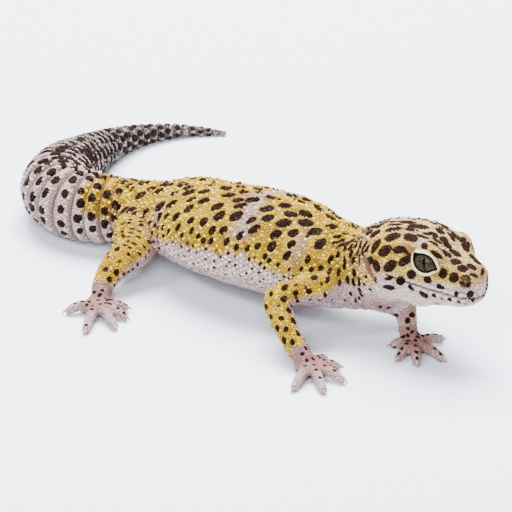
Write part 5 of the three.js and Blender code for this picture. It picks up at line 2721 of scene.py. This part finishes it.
@dataclass
class Eye:
    """One eyeball with its swollen cornea, and the rim of its lids."""

    lid: LidLine
    head: Head
    lean: float = 16.4  # degrees that the slit leans from upright, its foot ahead
    slit_at: tuple[float, float] = (0.38, -0.33)
    cornea: float = 0.2
    stand: float = 0.3  # how far the lids stand out of the skin

    def ball(self, name: str, material: bpy.types.Material) -> bpy.types.Object:
        """Makes the eyeball, in metres.

        Args:
            name: the piece's name.
            material: its finish.

        Returns:
            The piece.
        """
        ahead, high = self.lid.axes
        around, rows = 72, 48
        tilt = np.linspace(0, math.pi, rows + 1)[1:-1, None]
        turn = np.linspace(0, 2 * math.pi, around, endpoint=False)[None, :]
        reach = self.lid.radius + self.cornea * np.exp(-((tilt / 0.75) ** 2)) + 0 * turn
        across, up = np.sin(tilt) * np.cos(turn) * reach, np.sin(tilt) * np.sin(turn) * reach
        out = np.cos(tilt) * reach
        gaze = self.lid.gaze
        rings = across[..., None] * ahead + up[..., None] * high + out[..., None] * gaze + self.lid.middle
        first = self.lid.middle + gaze * (self.lid.radius + self.cornea)
        last = self.lid.middle - gaze * self.lid.radius
        made = new_object(name, tube_mesh(rings, first, last))
        flat = self.lid.face(read_points(made.data))
        angle = math.radians(self.lean)
        x, y = (flat - self.slit_at).T
        # how far inside the lids' edge, for the painted shade along it
        write_attribute(made.data, "margin", self.lid.inside(read_points(made.data)))
        write_attribute(made.data, "gaze_across", x * math.cos(angle) + y * math.sin(angle))
        write_attribute(made.data, "gaze_up", y * math.cos(angle) - x * math.sin(angle))
        write_points(made.data, to_metres(self.head.out(read_points(made.data))))
        return dressed(made, material)

    def rim(self, name: str, material: bpy.types.Material) -> bpy.types.Object:
        """Makes the rim of both lids as one closed ring, in metres.

        Args:
            name: the piece's name.
            material: its finish.

        Returns:
            The piece.
        """
        count, around = 120, 20
        line = self.lid.line(count)
        tangent = unit(np.roll(line, -1, axis=0) - np.roll(line, 1, axis=0))
        out = np.cross(tangent, unit(line - self.lid.middle))
        out *= np.where(((line - line.mean(0)) * out).sum(1, keepdims=True) > 0, 1, -1)
        for _ in range(8):
            out = unit(np.roll(out, 1, axis=0) + 2 * out + np.roll(out, -1, axis=0))
        share = np.arange(count) / count
        corner = np.exp(-((np.minimum(share, 1 - share) / 0.07) ** 2))
        front = np.exp(-(((share - 0.5) / 0.06) ** 2))
        half = 0.52 * (1 - 0.1 * corner) * (1 - 0.1 * front)
        top = self.lid.radius + 0.38 + self.stand * (1 - 0.2 * front + 0.3 * corner)
        bottom = self.lid.radius - 0.2
        way = unit(line + out * (half * 0.75)[:, None] - self.lid.middle)
        centre = self.lid.middle + way * ((top + bottom) / 2)[:, None]
        radial = unit(centre - self.lid.middle)
        angle = np.linspace(0, 2 * math.pi, around, endpoint=False)
        across = np.sign(np.cos(angle)) * np.abs(np.cos(angle)) ** 0.8
        rise = np.sign(np.sin(angle)) * np.abs(np.sin(angle)) ** 0.8
        rings = centre[:, None] + across[None, :, None] * half[:, None, None] * out[:, None]
        rings = rings + rise[None, :, None] * ((top - bottom) / 2)[:, None, None] * radial[:, None]
        points = to_metres(self.head.out(rings.reshape(-1, 3)))
        made = new_object(name, RawMesh(points, quads(count, around, closed=True)))
        # how near the rim's inner side each point lies, for its painted shade
        write_attribute(made.data, "inner", np.tile((1 + np.cos(angle - math.radians(200))) / 2, count))
        return dressed(made, material)


def dressed(made: bpy.types.Object, material: bpy.types.Material) -> bpy.types.Object:
    """Gives a piece its finish, turns all its faces out and shades them smoothly.

    Args:
        made: the piece.
        material: its finish.

    Returns:
        The same piece.
    """
    made.data.materials.append(material)
    work = bmesh.new()
    work.from_mesh(made.data)
    bmesh.ops.recalc_face_normals(work, faces=work.faces)
    work.to_mesh(made.data)
    work.free()
    smooth(made)
    return made


@dataclass
class Claws:
    """The five hooked claws of one foot."""

    leg: Limb
    length: float = 1.05
    radius: float = 0.42
    drop: float = 0.5

    def build(self, name: str, material: bpy.types.Material) -> bpy.types.Object:
        """Makes one mesh of five claws, in metres.

        Args:
            name: the piece's name.
            material: its finish.

        Returns:
            The piece.
        """
        parts, tips = [], []
        start, around = -0.42, 14
        shares = np.linspace(start, 1, 16)
        for toe in self.leg.toes:
            angle = math.radians(toe[0])
            way = np.array([math.cos(angle), math.sin(angle), 0])
            across = np.array([-way[1], way[0], 0])
            palm = np.array([self.leg.palm_at[0], self.leg.palm_at[1], 0])
            heights = Limb.TIP_HEIGHT + 0.3 - self.drop * np.maximum(shares, 0) ** 2 * 1.4
            centre = palm + way * (toe[1] + self.length * shares)[:, None] + UP * heights[:, None]
            radii = self.radius * np.interp(shares, [start, 0, 0.6, 1], [0.85, 0.95, 0.6, 0.14])
            turn = np.linspace(0, 2 * math.pi, around, endpoint=False)
            tangent = unit(np.gradient(centre, axis=0))
            above = np.cross(across, -tangent)
            flat = 0.8 * np.cos(turn)[None, :, None] * across
            circle = flat + np.sin(turn)[None, :, None] * above[:, None]
            rings = centre[:, None] + radii[:, None, None] * circle
            last = centre[-1] + tangent[-1] * 0.05
            parts.append(tube_mesh(rings, centre[0], last))
            tips += [np.repeat(np.maximum(shares, 0), around), [0.0, 1.0]]
        made = new_object(name, RawMesh.joined(parts))
        write_attribute(made.data, "tip", np.concatenate(tips))
        write_points(made.data, to_metres(read_points(made.data)))
        return dressed(made, material)


# ---------------------------------------------------------------- the scene


@dataclass
class Studio:
    """The pale floor, the soft light and the camera."""

    target: tuple[float, float, float] = tuple(to_metres((0, 0, 14)))
    azimuth: float = 35
    elevation: float = 26
    distance: float = 1.5
    lens: float = 421.9
    floor_half: float = 12.0
    floor_tone: tuple[float, ...] = (0.78, 0.845, 0.96, 1)
    sky_tone: tuple[float, ...] = (0.96, 0.98, 1.0, 1)
    sky_power: float = 0.07
    lights: Sequence[tuple[str, tuple[float, float, float], float, float]] = (
        # name, place, size in metres, power in watts
        ("overhead", (-0.2, 0.3, 0.84), 0.7, 53.0),
        ("front", (0.5, -0.9, 0.75), 0.6, 22.5),
        ("glint", (-0.265, -0.635, 0.677), 0.09, 4.4),
    )

    def floor(self) -> None:
        """Lays the floor."""
        size = self.floor_half
        corners = np.array([(-size, -size, 0), (size, -size, 0), (size, size, 0), (-size, size, 0)], float)
        made = new_object("floor", RawMesh(corners, [(0, 1, 2, 3)]))
        paint = Paint.named("floor_finish")
        made.data.materials.append(
            paint.finished(Base_Color=self.floor_tone, Roughness=0.8, Specular_IOR_Level=0.1)
        )

    def light(self, name: str, at: tuple[float, float, float], size: float, power: float) -> None:
        """Hangs a soft square light that faces the animal.

        Args:
            name: the light's name.
            at: its place, in metres.
            size: the length of its side, in metres.
            power: its strength, in watts.
        """
        data = bpy.data.lights.new(name, "AREA")
        data.size = size
        data.energy = power
        made = bpy.data.objects.new(name, data)
        made.location = at
        way = np.array(self.target) - np.array(at)
        made.rotation_euler = facing(way)
        bpy.context.scene.collection.objects.link(made)

    def camera(self) -> None:
        """Sets the camera."""
        data = bpy.data.cameras.new("camera")
        data.lens = self.lens
        data.sensor_width = 36
        data.clip_end = 50
        turn, rise = math.radians(self.azimuth), math.radians(self.elevation)
        back = np.array([math.sin(turn) * math.cos(rise), -math.cos(turn) * math.cos(rise), math.sin(rise)])
        made = bpy.data.objects.new("camera", data)
        made.location = np.array(self.target) + back * self.distance
        made.rotation_euler = facing(-back)
        bpy.context.scene.collection.objects.link(made)
        bpy.context.scene.camera = made

    def build(self) -> None:
        """Sets up the whole studio."""
        self.floor()
        world = bpy.data.worlds.new("world")
        world.use_nodes = True
        sky = world.node_tree.nodes["Background"]
        NodeSketch(world.node_tree).fill(sky, Color=self.sky_tone, Strength=self.sky_power)
        bpy.context.scene.world = world
        for name, at, size, power in self.lights:
            self.light(name, at, size, power)
        self.camera()


def facing(way: Array) -> tuple[float, float, float]:
    """The turn that points an object's -Z along a way, with its Y up."""
    flat = math.hypot(way[0], way[1])
    return (math.atan2(flat, -way[2]), 0.0, math.atan2(-way[0], way[1]))


def placed(made: bpy.types.Object, slot: str, nodes: Sequence[str]) -> None:
    """Puts a piece on the animal's one body, in place of CAD nodes.

    Args:
        made: the piece.
        slot: its slot.
        nodes: the CAD nodes that it replaces.
    """
    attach(made, "root")
    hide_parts(*nodes)
    LOG.info("%s: %d points, %s", made.name, len(made.data.vertices), slot)


@dataclass
class Gecko:
    """The whole animal, which puts each of its pieces on the one body."""

    animal: Animal = field(default_factory=Animal)
    lids: tuple[LidLine, LidLine] = (LidLine(-1), LidLine(1))  # right and left
    rings: TailRings = field(default_factory=TailRings)
    head_relief: HeadRelief = field(default_factory=HeadRelief)
    hide: HideFinish = HideFinish()
    skin: bpy.types.Object = field(init=False)
    markings: Markings = field(init=False)
    scales: Scales = field(init=False)

    def __post_init__(self) -> None:
        """Makes the skin, lays out its markings, and makes ready to plan its scales."""
        self.skin = Skin(self.animal, self.lids).build()
        ground = Ground.over(self.animal, self.skin.data)
        self.markings = Markings(ground, self.rings)
        self.scales = Scales(self.animal, ground, self.lids, self.rings, self.head_relief)
        LOG.info("markings: %d spots", len(self.markings.spots.centres))

    def mark_skin(self) -> None:
        """Keeps on the skin what its finish and its scales read from it."""
        mesh = self.skin.data
        points = read_points(mesh)
        places = self.animal.survey(points)
        for key, values in self.markings.tints(places).items():
            write_attribute(mesh, key, values)
        write_attribute(mesh, "ink", self.markings.ink(points))
        # the distance from the mouth line, from which the hide paints the slit's shade
        gape = np.where(places.local[:, 0] > 6.5, np.abs(self.head_relief.lip_gap(places.local)), NO_LIP)
        write_attribute(mesh, "lip", np.where(places.on_head > 0.5, gape, NO_LIP))
        write_attribute(mesh, "skin_normal", read_normals(mesh))
        corner = np.array([face.vertices[0] for face in mesh.polygons])
        write_attribute(mesh, "zone", self.scales.zone_of(places)[corner], "FACE")

    def grow_coat(self) -> None:
        """Grows the lip plates, then the small scales and the tubercles of each part."""
        finish = self.hide.material("scale_finish", Grain.SCALE)
        coat = Coat(self.markings.ground, self.markings, finish)
        tubercles, lips = self.scales.tubercles(), self.scales.lips()
        taken = tubercles.joined(lips)
        scatter = Scatter(self.skin)
        placed(coat.grow("lip_plates", lips, ScaleShape.PLATE), "skin_head", ("head", "lower_jaw"))
        where = self.scales.zone_of(self.animal.survey(tubercles.points))
        for zone in gecko_zones():
            spread, normals = scatter.spread(zone.number, zone.spacing)
            roots = self.scales.small(zone, spread, normals, taken)
            placed(coat.grow(f"scales_{zone.name}", roots, ScaleShape.GRAIN), zone.slot, zone.nodes)
            mine = where == zone.number
            if mine.any():
                made = coat.grow(f"tubercles_{zone.name}", tubercles.only(mine), ScaleShape.TUBERCLE)
                placed(made, zone.slot, zone.nodes)
        coat.clear()

    def dress_skin(self) -> None:
        """Takes the scales' helpers off the skin, and puts it in place of all the flesh."""
        mesh = self.skin.data
        for key in ("skin_normal", "zone"):
            mesh.attributes.remove(mesh.attributes[key])
        write_points(mesh, to_metres(read_points(mesh)))
        mesh.materials.append(self.hide.material("hide_finish", Grain.SKIN))
        placed(self.skin, "skin_back", sorted({node for zone in gecko_zones() for node in zone.nodes}))

    def add_eyes_and_claws(self) -> None:
        """Adds the eyeballs, the lids' rims and each foot's claws."""
        eye_finish, lid_finish = EyeFinish().material(), LidFinish().material()
        claw_finish = ClawFinish().material()
        for (side, _), lid in zip(SIDES, self.lids):
            eye = Eye(lid, self.animal.head)
            placed(eye.ball(f"eyeball_{side}", eye_finish), "eye", (f"eye_{side}",))
            placed(eye.rim(f"eyelids_{side}", lid_finish), "skin_head", ("head",))
        for leg in self.animal.limbs:
            nodes = [f"{leg.name}_claw_{number}" for number in range(1, 6)]
            placed(Claws(leg).build(f"claws_{leg.name}", claw_finish), "claw", nodes)

    def build(self) -> None:
        """Builds all the pieces in order."""
        self.mark_skin()
        self.grow_coat()
        self.dress_skin()
        self.add_eyes_and_claws()


def main() -> None:
    """Builds the gecko and its studio."""
    logging.basicConfig(level=logging.INFO, format="%(relativeCreated)6d ms %(message)s")
    Gecko().build()
    Studio().build()


if __name__ == "__main__":
    main()
